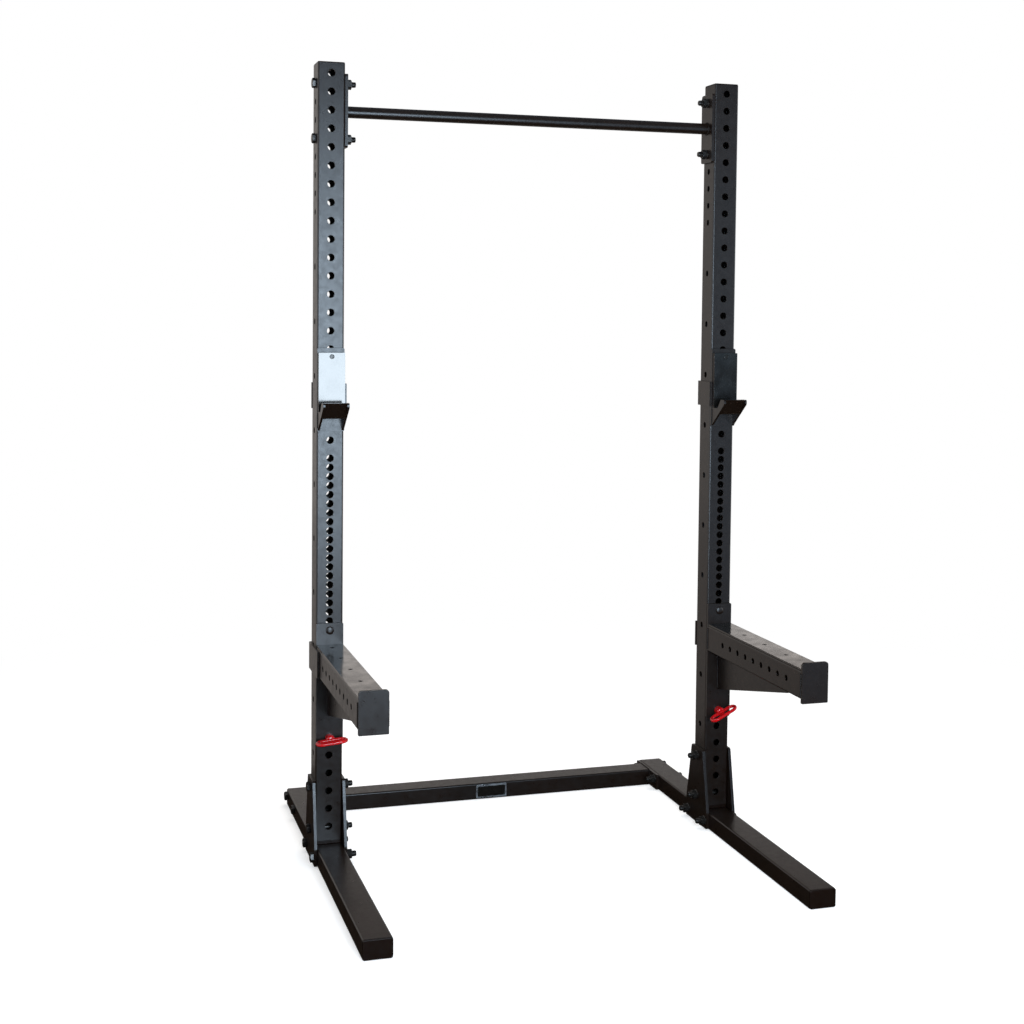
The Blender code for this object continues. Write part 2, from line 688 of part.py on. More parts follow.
def arm_bracket(label, side, coat):
    """Face plate, stud, wrap round the upright's outer side, drilled tube, gusset and end plate."""
    toward = side
    stud_height = fine_row()[0]
    pin_drop = stud_height - lower_row()[ARM_PIN_HOLE]
    top, bottom = ARM_PLATE_EDGE, -pin_drop - ARM_PLATE_EDGE
    plate = rectangle(BRACKET_WIDTH, top - bottom, BRACKET_CORNER, (0, (top + bottom) / 2))
    tube_top = -TWIST_DROP
    tube_low = tube_top - TUBE
    tube_middle = (0, tube_top - HALF)
    end_face = BRACKET_FACE - ARM_LENGTH
    end_back = end_face + PLATE
    high, low = tube_top + END_PLATE_RISE, tube_low - END_PLATE_DROP
    end_outline = rounded([(-HALF, low, END_PLATE_LOW_CORNER), (HALF, low, END_PLATE_LOW_CORNER),
                           (HALF, high, END_PLATE_TOP_CORNER), (-HALF, high, END_PLATE_TOP_CORNER)])
    root = BRACKET_FACE + WELD_BITE
    nose = BRACKET_FACE - ARM_GUSSET_LENGTH
    under = tube_low + WELD_BITE
    gusset = [(root, under), (root, tube_low - ARM_GUSSET_ROOT), (nose, tube_low - ARM_GUSSET_NOSE),
              (nose - ARM_GUSSET_NOSE / 2, under)]

    def arm_tube(bm):
        outer = rectangle(TUBE, TUBE, TUBE_CORNER, tube_middle)
        inside = TUBE - 2 * TUBE_WALL
        inner = rectangle(inside, inside, TUBE_CORNER - TUBE_WALL, tube_middle)
        tube(bm, outer, inner, "Y", end_back - WELD_BITE, root)

    def holes(bm):
        for i in range(ARM_HOLES):
            y = BRACKET_FACE - ARM_HOLE_START - i * ARM_HOLE_PITCH
            for wall in (-1, 1):
                centre = (wall * (HALF - TUBE_WALL / 2), y, tube_middle[1])
                drill(bm, "X", centre, ARM_HOLE, 2 * TUBE_WALL, HOLE_SIDES)
        plate_middle = (BRACKET_FACE + BRACKET_BACK) / 2
        drill(bm, "Y", (0, plate_middle, -pin_drop), INDEX_HOLE, 2 * PLATE, HOLE_SIDES)

    def stud_and_head(bm):
        steps = ((STUD_HEAD * 0.6, BRACKET_FACE - STUD_HEAD_HEIGHT),
                 (STUD_HEAD, BRACKET_FACE - STUD_HEAD_HEIGHT / 3), (STUD_HEAD, BRACKET_FACE + WELD_BITE),
                 (STUD, BRACKET_FACE + WELD_BITE), (STUD, BRACKET_BACK + STUD_LENGTH - TIP_CHAMFER),
                 (STUD - 2 * TIP_CHAMFER, BRACKET_BACK + STUD_LENGTH))
        turned(bm, steps, "Y")

    wrap_top = tube_top - ARM_WRAP_TOP_MARGIN
    piece = make(f"spotter_arm_{label}", coat, (side * UPRIGHT_X, UPRIGHT_Y, stud_height),
                 lambda bm: prism(bm, plate, "Y", BRACKET_FACE, BRACKET_BACK))
    weld(piece, stud_and_head, "stud")
    weld(piece, arm_tube, "tube")
    weld(piece, lambda bm: wrap(bm, toward, BRACKET_FACE - ARM_WRAP_FORWARD, tube_low, wrap_top), "wrap")
    weld(piece, lambda bm: prism(bm, gusset, "X", -PLATE / 2, PLATE / 2), "gusset")
    weld(piece, lambda bm: prism(bm, end_outline, "Y", end_face, end_back), "end_plate")
    cut(piece, holes, "holes")


def arm_strip(label, side, plastic):
    """The wear strip on top of an arm, with a recess for each screw."""
    top_of_tube = fine_row()[0] - TWIST_DROP
    rear = BRACKET_FACE - STRIP_END_MARGIN
    front = BRACKET_FACE - ARM_LENGTH + PLATE + STRIP_END_MARGIN
    low, high = GAP, GAP + STRIP
    half = HALF - STRIP_SIDE_MARGIN
    outline = [(-half, front), (half, front), (half, rear), (-half, rear)]

    def recesses(bm):
        for i in range(STRIP_SCREWS):
            centre = (0, BRACKET_FACE - STRIP_SCREW_START - i * STRIP_SCREW_PITCH, high)
            drill(bm, "Z", centre, SCREW_RECESS, 2 * SCREW_RECESS_DEPTH, RECESS_SIDES)

    piece = make(f"arm_strip_{label}", plastic, (side * UPRIGHT_X, UPRIGHT_Y, top_of_tube),
                 lambda bm: prism(bm, outline, "Z", low, high))
    cut(piece, recesses, "recesses")


# Locking pins

def pin_location(side):
    return (side * UPRIGHT_X, UPRIGHT_Y + BRACKET_FACE, lower_row()[ARM_PIN_HOLE])


def locking_pin(label, side, steel):
    steps = ((STUD, -PIN_TAIL), (STUD, PIN_REACH - TIP_CHAMFER), (STUD - 2 * TIP_CHAMFER, PIN_REACH))
    make(f"locking_pin_{label}", steel, pin_location(side), lambda bm: turned(bm, steps, "Y"))


def loop_points():
    """Centre line of the loop in the XY plane: two straight runs and two half circles."""
    bend = (LOOP_WIDTH - LOOP_WIRE) / 2
    straight = (LOOP_LENGTH - LOOP_WIRE) / 2 - bend
    points = []
    for end in (1, -1):
        for step in range(LOOP_END_STEPS + 1):
            angle = end * math.pi / 2 - math.pi * step / LOOP_END_STEPS
            points.append((end * straight + bend * math.cos(angle), -LOOP_CENTRE + bend * math.sin(angle)))
    return points


def loop_wire(bm):
    points = loop_points()
    section = polygon(LOOP_WIRE, LOOP_SIDES)
    rings = []
    for i, (x, y) in enumerate(points):
        before, after = points[i - 1], points[(i + 1) % len(points)]
        run = math.hypot(after[0] - before[0], after[1] - before[1])
        across = ((after[1] - before[1]) / run, -(after[0] - before[0]) / run)
        rings.append([(x + across[0] * a, y + across[1] * a, b) for a, b in section])
    loft(bm, rings, closed=True)


def pin_handle(label, side, plastic):
    """A domed boss over the pin's tail, and a flat loop of thick wire through it."""
    dome = BOSS_LENGTH - BOSS_DOME
    steps = ((BOSS, -GAP), (BOSS, -dome), (BOSS * 0.86, -dome - BOSS_DOME * 0.5), (BOSS * 0.5, -BOSS_LENGTH))
    socket = STUD + 2 * HANDLE_CLEARANCE
    depth = PIN_TAIL + HANDLE_CLEARANCE

    def bore(bm):
        outline = polygon(socket, ROUND_SIDES, around=True)
        prism(bm, outline, "Y", -depth, depth)

    piece = make(f"pin_handle_{label}", plastic, pin_location(side), lambda bm: turned(bm, steps, "Y"))
    piece.rotation_euler.y = LOOP_TURNS[side]
    for shape, part, operation in ((loop_wire, "loop", "UNION"), (bore, "bore", "DIFFERENCE")):
        tool = make(f"{piece.name}_{part}", None, piece.location, shape)
        tool.rotation_euler.y = LOOP_TURNS[side]
        combine(piece, tool, operation)


def build():
    for old in list(bpy.data.objects):
        bpy.data.objects.remove(old)
    coat = material("satin_black_powder_coat", (0.035, 0.036, 0.040), 0.42, 0.1)
    caps_plastic = material("black_moulded_plastic", (0.020, 0.020, 0.022), 0.55)
    liner_plastic = material("black_liner_plastic", (0.016, 0.016, 0.018), 0.2)
    steel = material("blackened_steel", (0.045, 0.045, 0.048), 0.38, 0.8)
    bright = material("bright_steel", (0.55, 0.55, 0.56), 0.3, 1.0)
    red = material("red_dipped_plastic", (0.55, 0.012, 0.016), 0.3)
    for label, side in SIDES.items():
        upright(label, side, coat)
        runner(label, side, coat)
        caps(label, side, caps_plastic)
        base_plate(label, side, "outer", 1, coat)
        base_plate(label, side, "inner", -1, coat)
        cup_bracket(label, side, coat)
        cup_liner(label, side, liner_plastic)
        arm_bracket(label, side, coat)
        arm_strip(label, side, liner_plastic)
        locking_pin(label, side, bright)
        pin_handle(label, side, red)
    crossmember(coat)
    pull_up_bar(coat)
    fasteners(steel)


build()
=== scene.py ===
"""Looks of the half rack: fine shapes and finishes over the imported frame, a studio and the camera."""

import json
import math

import bmesh
import bpy
from mathutils import Matrix, Vector

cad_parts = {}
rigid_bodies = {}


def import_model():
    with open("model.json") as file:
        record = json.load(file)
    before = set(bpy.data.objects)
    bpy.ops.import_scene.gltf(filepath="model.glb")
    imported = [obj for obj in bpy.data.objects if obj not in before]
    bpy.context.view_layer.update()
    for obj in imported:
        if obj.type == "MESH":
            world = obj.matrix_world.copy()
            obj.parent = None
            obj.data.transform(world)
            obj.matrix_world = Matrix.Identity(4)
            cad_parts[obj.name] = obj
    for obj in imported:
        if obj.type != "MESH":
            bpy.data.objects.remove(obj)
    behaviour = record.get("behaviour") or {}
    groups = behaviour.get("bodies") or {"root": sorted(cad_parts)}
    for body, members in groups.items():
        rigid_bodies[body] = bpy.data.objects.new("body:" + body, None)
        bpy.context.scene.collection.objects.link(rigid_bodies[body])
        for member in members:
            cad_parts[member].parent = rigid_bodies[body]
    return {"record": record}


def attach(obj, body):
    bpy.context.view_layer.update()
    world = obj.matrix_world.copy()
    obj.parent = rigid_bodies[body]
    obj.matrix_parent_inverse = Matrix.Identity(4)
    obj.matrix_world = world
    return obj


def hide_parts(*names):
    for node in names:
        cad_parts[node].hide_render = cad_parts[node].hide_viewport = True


for old in list(bpy.data.objects):
    bpy.data.objects.remove(old)
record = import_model()["record"]
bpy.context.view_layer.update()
BODIES = {node: body for body, nodes in record["behaviour"]["bodies"].items() for node in nodes}
SLOTS = {part["node"]: part["material_slot"] for part in record["subparts"]}

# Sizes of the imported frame, in metres
SIDES = {"left": -1, "right": 1}
GAP = 0.0003  # between pieces that touch
SINK = 0.0005  # how far a shape reaches into the one that it is joined with
TUBE, RUNNER_HEIGHT, WALL, CORNER = 0.075, 0.050, 0.003, 0.005
BORE, RUNNER_BORE, BORE_CORNER = TUBE - 2 * WALL, RUNNER_HEIGHT - 2 * WALL, CORNER - WALL
HALF = TUBE / 2
PLATE, WRAP_PLATE, PLATE_CORNER, HEAD_CORNER = 0.008, 0.006, 0.004, 0.008
HOLE, STUD, BOLT, BOLT_HOLE, ARM_HOLE = 0.020, 0.019, 0.016, 0.017, 0.016
CHAMFER = 0.0004  # on the edges of holes

# Main frame: bolts are given as (y, z), with y from the upright's centre
UPRIGHT_X, UPRIGHT_Y = 0.585, 0.1095
UPRIGHT_FOOT, UPRIGHT_TOP = 0.0606, 2.2017
FRONT_REACH, REAR_REACH, CAP_ROOM = 0.705, 0.486, 0.0063  # the rack's ends, which the caps share
RUNNER_FRONT, RUNNER_REAR = -FRONT_REACH + CAP_ROOM, REAR_REACH - CAP_ROOM
TOP_CAP, FOOT_CAP, RUNNER_CAP = (0.003, 0.014), (0.010, 0.014), (0.006, 0.007)  # head, plug
CAP_INSET, CAP_EDGE, PLUG_CORNER = 0.0005, 0.0016, 0.002
INDEX_ROW = ([0.1 + 0.05 * i for i in range(11)] + [0.65 + 0.025 * i for i in range(19)]
             + [1.125 + 0.05 * i for i in range(22)])
SIDE_ROW = [2.15 - 0.05 * i for i in range(8)] + [1.65 - 0.15 * i for i in range(10)]
BASE_FOOT, BASE_HEAD, BASE_LOW, BASE_TOP = 0.076, 0.0395, 0.002, 0.230
BASE_BOLTS = ((0, 0.205), (0, 0.0856), (-0.06, 0.025), (0.06, 0.025))
SPAN_END = UPRIGHT_X - HALF - GAP - PLATE  # where the bar and the crossmember meet their end plates
CROSS_CENTRE, FLANGE_WIDTH, FLANGE_SHIFT = 0.4125, 0.172, 0.015
CROSS_BOLTS = ((0.331, 0.033), (0.464, 0.033))
BAR, BAR_BORE, BAR_Z, BAR_PLATE_HEIGHT, BAR_BOLT_REACH = 0.032, 0.026, 2.075, 0.200, 0.075
BAR_BOLTS = ((0, 2.15), (0, 2.0))

# Fasteners: diameters of shank, thread root and tip, width of the hexagon, lengths, and screw heads
SHANK, ROOT, TIP = BOLT - 0.0001, BOLT - 0.0019, BOLT - 0.003
HEX, HEAD, NUT, TAIL, PITCH = 0.024, 0.010, 0.015, 0.012, 0.002
CUP_SCREW, STRIP_SCREW = 0.0122, 0.0120
# Heads that stand turned on their axis, in degrees, so that one flat catches the softbox
HEAD_TURNS = {"bar_bolt_1_left": 11, "base_bolt_3_left": -20}

# Brackets: places are measured from the stud's centre on the upright's centre line
CUP_Z, ARM_Z, PIN_Z = 1.375, 0.650, 0.350
BRACKET_BACK = -HALF - GAP
BRACKET_FACE = BRACKET_BACK - PLATE
BRACKET_ROOT = BRACKET_FACE + SINK
TWIST_DROP = HALF + 0.007  # down to a cup's wrap, so that the cup can turn, and to an arm's tube
WRAP_PAST, WRAP_BEND, STUD_HEAD = 0.0015, 0.007, 0.023
STUD_TIP = ((0, 0.028), (0.0012, 0.0292), (0.004, 0.030))  # off the diameter, depth in the upright

# Cups: heights of the face plate and the wrap, the hook's line, its plates and the liner on it
CUP_PLATE, CUP_PLATE_CENTRE, CUP_WRAP = 0.228, -0.061, 0.072
SEAT_DROP, SEAT_DEPTH, LIP_RISE, LIP_SLOPE = 0.120, 0.024, 0.0265, math.radians(50)
HOOK, BEND, HOOK_HALF, CHEEK_IN, CHEEK_OUT, CHEEK_LOW = 0.006, 0.008, 0.0355, 0.030, 0.036, -0.173
LINER, SEAT_LINER, PAD_HALF, PAD_TOP, TROUGH_HALF = 0.015, 0.0115, 0.0365, 0.0405, 0.0297
CUP_SCREW_RISE, COUNTERBORE, COUNTERBORE_DEPTH = 0.030, 0.0132, 0.0034

# Spotter arms: lengths from the face plate, heights from the tube's top or underside
ARM_LENGTH, ARM_WRAP, ARM_WRAP_DROP = 0.595, 0.051, 0.002
PLATE_PAST = 0.040  # of the face plate, above the stud and below the pin together
ARM_TOP = -TWIST_DROP
ARM_LOW = ARM_TOP - TUBE
END_FACE = BRACKET_FACE - ARM_LENGTH
END_BACK = END_FACE + PLATE
END_RISE, END_DROP, END_CORNER = 0.022, 0.011, 0.002
GUSSET_NOSE, GUSSET_DEPTH, NOSE_DEPTH, NOSE_SLOPE = BRACKET_FACE - 0.445, 0.118, 0.020, 0.010
ARM_HOLES = [BRACKET_FACE - 0.104 - i * 0.050 for i in range(9)]
STRIP, STRIP_INSET = 0.005, 0.001
STRIP_SCREWS = [BRACKET_FACE - 0.039 - i * 0.130 for i in range(4)]
STRIP_RECESS = ((0.0052, 0.0012), (0.0130, 0.0048), (0.0138, 0.0060))  # diameter, height

# Locking pins: the loop is two half circles of wire, joined by straights, and the places along the
# pin and its boss are measured from the front of the arm's face plate
WIRE, LOOP_BEND, LOOP_STRAIGHT, LOOP_CENTRE = 0.0092, 0.0155, 0.0248, -0.0385
BOSS, BOSS_LENGTH, BOSS_DOME, BOSS_BORE, BORE_END = 0.025, 0.018, 0.006, 0.0196, 0.0173
PIN_HEAD, PIN_TIP = -0.017, ((0, 0.0455), (0.0012, 0.0470), (0.005, 0.048))
LOOP_TURNS = {"left": -5, "right": -27}


# Finishes

FINISHES = {}


def nodes_of(name):
    new = bpy.data.materials.new(name)
    new.use_nodes = True
    tree = new.node_tree
    return new, tree, tree.nodes["Principled BSDF"]


def noise(tree, scale, detail):
    coordinates = tree.nodes.new("ShaderNodeTexCoord")
    texture = tree.nodes.new("ShaderNodeTexNoise")
    texture.inputs["Scale"].default_value = scale
    texture.inputs["Detail"].default_value = detail
    texture.inputs["Roughness"].default_value = 0.55
    tree.links.new(coordinates.outputs["Object"], texture.inputs["Vector"])
    return texture.outputs["Fac"]


def ramp(tree, fac, low, high):
    """Maps a noise to a range of greys or colours."""
    node = tree.nodes.new("ShaderNodeValToRGB")
    for element, value, position in zip(node.color_ramp.elements, (low, high), (0.3, 0.7)):
        element.color = (*value, 1) if hasattr(value, "__len__") else (value, value, value, 1)
        element.position = position
    tree.links.new(fac, node.inputs["Fac"])
    return node.outputs["Color"]


def bump(tree, shader, layers):
    """Stacks noise heights given as (scale, detail, strength, distance)."""
    last = None
    for scale, detail, strength, distance in layers:
        node = tree.nodes.new("ShaderNodeBump")
        node.inputs["Strength"].default_value = strength
        node.inputs["Distance"].default_value = distance
        tree.links.new(noise(tree, scale, detail), node.inputs["Height"])
        if last:
            tree.links.new(last, node.inputs["Normal"])
        last = node.outputs["Normal"]
    tree.links.new(last, shader.inputs["Normal"])


def finish(name, colours, rough, metallic, bumps, mottle=6.0, rough_scale=60.0, shine=0.5,
           tint=(1, 1, 1)):
    """Adds a finish whose colour and roughness each vary between two values, over layers of bump."""
    new, tree, shader = nodes_of(name)
    tree.links.new(ramp(tree, noise(tree, mottle, 4.0), *colours), shader.inputs["Base Color"])
    tree.links.new(ramp(tree, noise(tree, rough_scale, 4.0), *rough), shader.inputs["Roughness"])
    shader.inputs["Metallic"].default_value = metallic
    shader.inputs["Specular IOR Level"].default_value = shine
    shader.inputs["Specular Tint"].default_value = (*tint, 1)
    bump(tree, shader, bumps)
    FINISHES[name] = new


finish("powder_coat", ((0.0058, 0.0027, 0.0013), (0.0086, 0.0041, 0.0023)), (0.27, 0.36), 0.0,
       ((900, 2, 0.35, 0.00012), (160, 3, 0.12, 0.0003)), shine=0.34)
finish("coated_weld", ((0.0045, 0.0022, 0.0012), (0.0070, 0.0034, 0.0019)), (0.42, 0.55), 0.0,
       ((900, 2, 0.35, 0.00012), (260, 3, 0.2, 0.0003)), shine=0.14)
finish("moulded_plastic", ((0.0048, 0.0019, 0.0009), (0.0070, 0.0028, 0.0014)), (0.30, 0.42), 0.0,
       ((1500, 2, 0.3, 0.0001),), shine=0.13)
finish("liner_plastic", ((0.0035, 0.0032, 0.0030), (0.0065, 0.0060, 0.0055)), (0.12, 0.20), 0.0,
       ((45, 3, 0.05, 0.0004), (700, 2, 0.08, 0.0001)), rough_scale=25, shine=0.7,
       tint=(1.0, 0.93, 0.87))
finish("fastener_steel", ((0.010, 0.009, 0.008), (0.030, 0.026, 0.023)), (0.20, 0.38), 0.6,
       ((1200, 3, 0.2, 0.0001),), mottle=120)
finish("bright_steel", ((0.42, 0.42, 0.43), (0.6, 0.6, 0.61)), (0.22, 0.36), 1.0,
       ((1500, 3, 0.15, 0.00005),), mottle=150)
finish("red_plastic", ((0.33, 0.001, 0.002), (0.44, 0.002, 0.004)), (0.12, 0.20), 0.0,
       ((120, 2, 0.12, 0.0004), (900, 2, 0.08, 0.0001)), mottle=40, shine=0.34)


# Outlines, as lists of (u, v)

def polygon(diameter, sides=32, around=False):
    """A regular polygon inside the circle, or around it for a cutter."""
    radius = diameter / 2 / (math.cos(math.pi / sides) if around else 1)
    angles = [(i + 0.5) * 2 * math.pi / sides for i in range(sides)]
    return [(radius * math.cos(a), radius * math.sin(a)) for a in angles]


def rounded(corners, steps=5):
    """Corners given as (u, v, radius), each turned into an arc."""
    points = []
    for i, (u, v, radius) in enumerate(corners):
        if radius <= 0:
            points.append((u, v))
            continue
        before = (corners[i - 1][0] - u, corners[i - 1][1] - v)
        following = corners[(i + 1) % len(corners)]
        after = (following[0] - u, following[1] - v)
        a = math.atan2(before[1], before[0])
        b = math.atan2(after[1], after[0])
        opening = (b - a + math.pi) % (2 * math.pi) - math.pi
        middle = a + opening / 2
        reach = radius / math.sin(abs(opening) / 2)
        centre = (u + reach * math.cos(middle), v + reach * math.sin(middle))
        swing = math.pi - abs(opening)
        sense = 1 if opening > 0 else -1
        first = middle + math.pi + sense * swing / 2
        for step in range(steps + 1):
            angle = first - sense * swing * step / steps
            points.append((centre[0] + radius * math.cos(angle), centre[1] + radius * math.sin(angle)))
    return points


def rectangle(width, height, radius, centre=(0, 0), steps=5):
    u, v = centre
    right, top = width / 2, height / 2
    corners = ((-right, -top), (right, -top), (right, top), (-right, top))
    return rounded([(u + a, v + b, radius) for a, b in corners], steps)


# Solids

def place(point, axis, level):
    """A point of an outline that stands at a level along an axis."""
    u, v = point
    return {"X": (level, u, v), "Y": (u, level, v), "Z": (u, v, level)}[axis]


def loft(bm, rings, closed=False):
    """A skin over rings of points, with a face on each end or joined back to the first ring."""
    rows = [[bm.verts.new(point) for point in points] for points in rings]
    for low, high in zip(rows, rows[1:] + (rows[:1] if closed else [])):
        for i in range(len(low)):
            bm.faces.new((low[i - 1], low[i], high[i], high[i - 1]))
    if not closed:
        bm.faces.new(rows[0])
        bm.faces.new(rows[-1])


def prism(bm, outline, axis, low, high):
    loft(bm, [[place(p, axis, level) for p in outline] for level in (low, high)])


def tube(bm, outer, inner, axis, low, high):
    around = ((outer, low), (outer, high), (inner, high), (inner, low))
    loft(bm, [[place(p, axis, level) for p in outline] for outline, level in around], closed=True)


def turned(bm, profile, axis):
    """A turned shape from a profile given as (diameter, level)."""
    loft(bm, [[place(p, axis, level) for p in polygon(size)] for size, level in profile])


def drill(bm, axis, centre, diameter, depth):
    """A cutter for one hole through a wall, wider at both of the wall's faces; depth is the wall's."""
    index = "XYZ".index(axis)
    u, v = [c for i, c in enumerate(centre) if i != index]
    half, wide, past = depth / 2, 2 * CHAMFER, 0.001
    steps = ((wide + 2 * past, half + past), (wide, half), (0, half - CHAMFER),
             (0, CHAMFER - half), (wide, -half), (wide + 2 * past, -half - past))
    rings = []
    for more, level in steps:
        outline = [(u + a, v + b) for a, b in polygon(diameter + more, around=True)]
        rings.append([place(p, axis, centre[index] + level) for p in outline])
    loft(bm, rings)


def solid(name, bm, location):
    bmesh.ops.recalc_face_normals(bm, faces=bm.faces)
    mesh = bpy.data.meshes.new(name)
    bm.to_mesh(mesh)
    bm.free()
    piece = bpy.data.objects.new(name, mesh)
    piece.location = location
    bpy.context.scene.collection.objects.link(piece)
    return piece


def make(name, location, shape):
    bm = bmesh.new()
    shape(bm)
    return solid(name, bm, location)


def applied(piece):
    """The piece's mesh with its modifiers applied, which are then taken off."""
    graph = bpy.context.evaluated_depsgraph_get()
    graph.update()
    mesh = bpy.data.meshes.new_from_object(piece.evaluated_get(graph))
    piece.modifiers.clear()
    return mesh


def combine(target, steps, turn=0.0):
    """Runs Boolean steps given as (operation, shape function) and leaves a plain mesh."""
    tools = []
    for operation, shape in steps:
        tool = make("tool", target.location, shape)
        tool.rotation_euler.y = turn
        tools.append(tool)
        modifier = target.modifiers.new("step", "BOOLEAN")
        modifier.object = tool
        modifier.operation = operation
        modifier.solver = "EXACT"
    old = target.data
    target.data = applied(target)
    bpy.data.meshes.remove(old)
    for tool in tools:
        data = tool.data
        bpy.data.objects.remove(tool)
        bpy.data.meshes.remove(data)
    return target


def dress(piece, node, bevel=0.0, segments=2, angle=35, slot=None, stands_in=True):
    """Gives a piece soft edges, shading and a finish, and has it move with its node or stand in for it."""
    if bevel:
        modifier = piece.modifiers.new("edges", "BEVEL")
        modifier.width = bevel
        modifier.segments = segments
        modifier.limit_method = "ANGLE"
        modifier.angle_limit = math.radians(angle)
        modifier.use_clamp_overlap = True
        piece.data = applied(piece)
    mesh = piece.data
    mesh.shade_smooth()
    mesh.set_sharp_from_angle(angle=math.radians(42))
    weigh = piece.modifiers.new("flats", "WEIGHTED_NORMAL")
    weigh.keep_sharp = True
    weigh.weight = 80
    wear = slot or SLOTS[node]
    mesh.materials.clear()
    mesh.materials.append(FINISHES[wear])
    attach(piece, BODIES[node])
    if stands_in:
        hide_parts(node)


def on_upright(side, z=0.0):
    """A place on the centre line of one upright."""
    return (side * UPRIGHT_X, UPRIGHT_Y, z)


# Main frame

def upright(label, side):
    def body(bm):
        outer, inner = rectangle(TUBE, TUBE, CORNER), rectangle(BORE, BORE, BORE_CORNER)
        tube(bm, outer, inner, "Z", UPRIGHT_FOOT, UPRIGHT_TOP)

    def holes(bm):
        wall = HALF - WALL / 2
        for end in (-1, 1):
            for z in INDEX_ROW:
                drill(bm, "Y", (0, end * wall, z), HOLE, WALL)
            for z in SIDE_ROW + [z for _, z in BASE_BOLTS[:2]]:
                drill(bm, "X", (end * wall, 0, z), BOLT_HOLE, WALL)

    piece = make(f"drilled_upright_{label}", on_upright(side), body)
    dress(combine(piece, [("DIFFERENCE", holes)]), f"upright_{label}")


def runner(label, side):
    middle = (0, RUNNER_HEIGHT / 2)

    def body(bm):
        outer = rectangle(TUBE, RUNNER_HEIGHT, CORNER, middle)
        inner = rectangle(BORE, RUNNER_BORE, BORE_CORNER, middle)
        tube(bm, outer, inner, "Y", RUNNER_FRONT, RUNNER_REAR)

    def holes(bm):
        for end in (-1, 1):
            for y, z in BASE_BOLTS[2:] + CROSS_BOLTS:
                drill(bm, "X", (end * (HALF - WALL / 2), y, z), BOLT_HOLE, WALL)

    piece = make(f"floor_runner_{label}", on_upright(side), body)
    dress(combine(piece, [("DIFFERENCE", holes)]), f"runner_{label}")


def end_cap(node, location, axis, size, end, outward, cap):
    """A plug inside a tube's wall, and outside it a head with a curved edge."""
    width, height = size
    head, plug = cap
    steps = [(WALL + GAP, -plug, PLUG_CORNER), (WALL + GAP, GAP, PLUG_CORNER), (CAP_INSET, GAP, CORNER)]
    edge = min(CAP_EDGE, head * 0.55)
    for i in range(4):
        angle = i * math.pi / 6
        less = CAP_INSET + edge * (1 - math.cos(angle))
        steps.append((less, GAP + head - edge * (1 - math.sin(angle)), CORNER))
    rings = []
    for less, level, radius in steps:
        outline = rectangle(width - 2 * less, height - 2 * less, radius)
        rings.append([place(p, axis, end + outward * level) for p in outline])
    piece = make(f"cap_of_{node}", location, lambda bm: loft(bm, rings))
    dress(piece, node)


def caps(label, side):
    at = on_upright(side)
    end_cap(f"top_cap_{label}", at, "Z", (TUBE, TUBE), UPRIGHT_TOP, 1, TOP_CAP)
    end_cap(f"foot_cap_{label}", at, "Z", (TUBE, TUBE), UPRIGHT_FOOT, -1, FOOT_CAP)
    at = on_upright(side, RUNNER_HEIGHT / 2)
    for end, level, outward in (("front", RUNNER_FRONT, -1), ("rear", RUNNER_REAR, 1)):
        end_cap(f"runner_cap_{end}_{label}", at, "Y", (TUBE, RUNNER_HEIGHT), level, outward, RUNNER_CAP)


def base_plate(label, side, name, outward):
    """A trapezium that ties an upright to its runner, on the outer or the inner side."""
    near = HALF + GAP
    low, high = sorted((outward * side * near, outward * side * (near + PLATE)))
    outline = rounded([
        (-BASE_FOOT, BASE_LOW, PLATE_CORNER), (BASE_FOOT, BASE_LOW, PLATE_CORNER),
        (BASE_FOOT, RUNNER_HEIGHT, PLATE_CORNER), (BASE_HEAD, BASE_TOP, HEAD_CORNER),
        (-BASE_HEAD, BASE_TOP, HEAD_CORNER), (-BASE_FOOT, RUNNER_HEIGHT, PLATE_CORNER)])

    def holes(bm):
        for y, z in BASE_BOLTS:
            drill(bm, "X", ((low + high) / 2, y, z), BOLT_HOLE, PLATE)

    piece = make(f"gusset_{name}_{label}", on_upright(side),
                 lambda bm: prism(bm, outline, "X", low, high))
    dress(combine(piece, [("DIFFERENCE", holes)]), f"base_plate_{name}_{label}", bevel=0.0009)


RIPPLE = 0.0045  # length of one ripple of a weld bead
WELD_SINK = 0.0004  # how far a bead's centre lies in the plate


def bead(bm, points, radius, closed):
    """A weld bead along points: a round section that swells and shrinks in small ripples."""
    path = []
    count = len(points)
    for i in range(count if closed else count - 1):
        a, b = Vector(points[i]), Vector(points[(i + 1) % count])
        steps = max(1, round((b - a).length / (RIPPLE / 4)))
        path += [a.lerp(b, s / steps) for s in range(steps)]
    if not closed:
        path.append(Vector(points[-1]))
    rings = []
    travelled = 0.0
    for i, point in enumerate(path):
        before = path[i - 1] if closed or i else point
        after = path[(i + 1) % len(path)] if closed or i + 1 < len(path) else point
        along = (after - before).normalized()
        steep = abs(along.z) >= 0.9
        side = (along.orthogonal() if steep else along.cross(Vector((0, 0, 1)))).normalized()
        up = along.cross(side)
        if i:
            travelled += (point - path[i - 1]).length
        phase = travelled / RIPPLE % 1
        size = radius * (0.82 + 0.22 * math.sin(math.pi * phase))
        if not closed and i in (0, len(path) - 1):
            size *= 0.4
        rings.append([point + side * size * math.cos(t) + up * size * math.sin(t)
                      for t in (k * math.pi / 4 for k in range(8))])
    loft(bm, rings, closed=closed)


def welds(name, node, location, paths, radius, closed=False):
    """Weld beads in one piece, half sunk in the corners that they fill."""
    bm = bmesh.new()
    for points in paths:
        bead(bm, points, radius, closed)
    piece = solid(name, bm, location)
    dress(piece, node, stands_in=False)
    piece.data.materials[0] = FINISHES["coated_weld"]


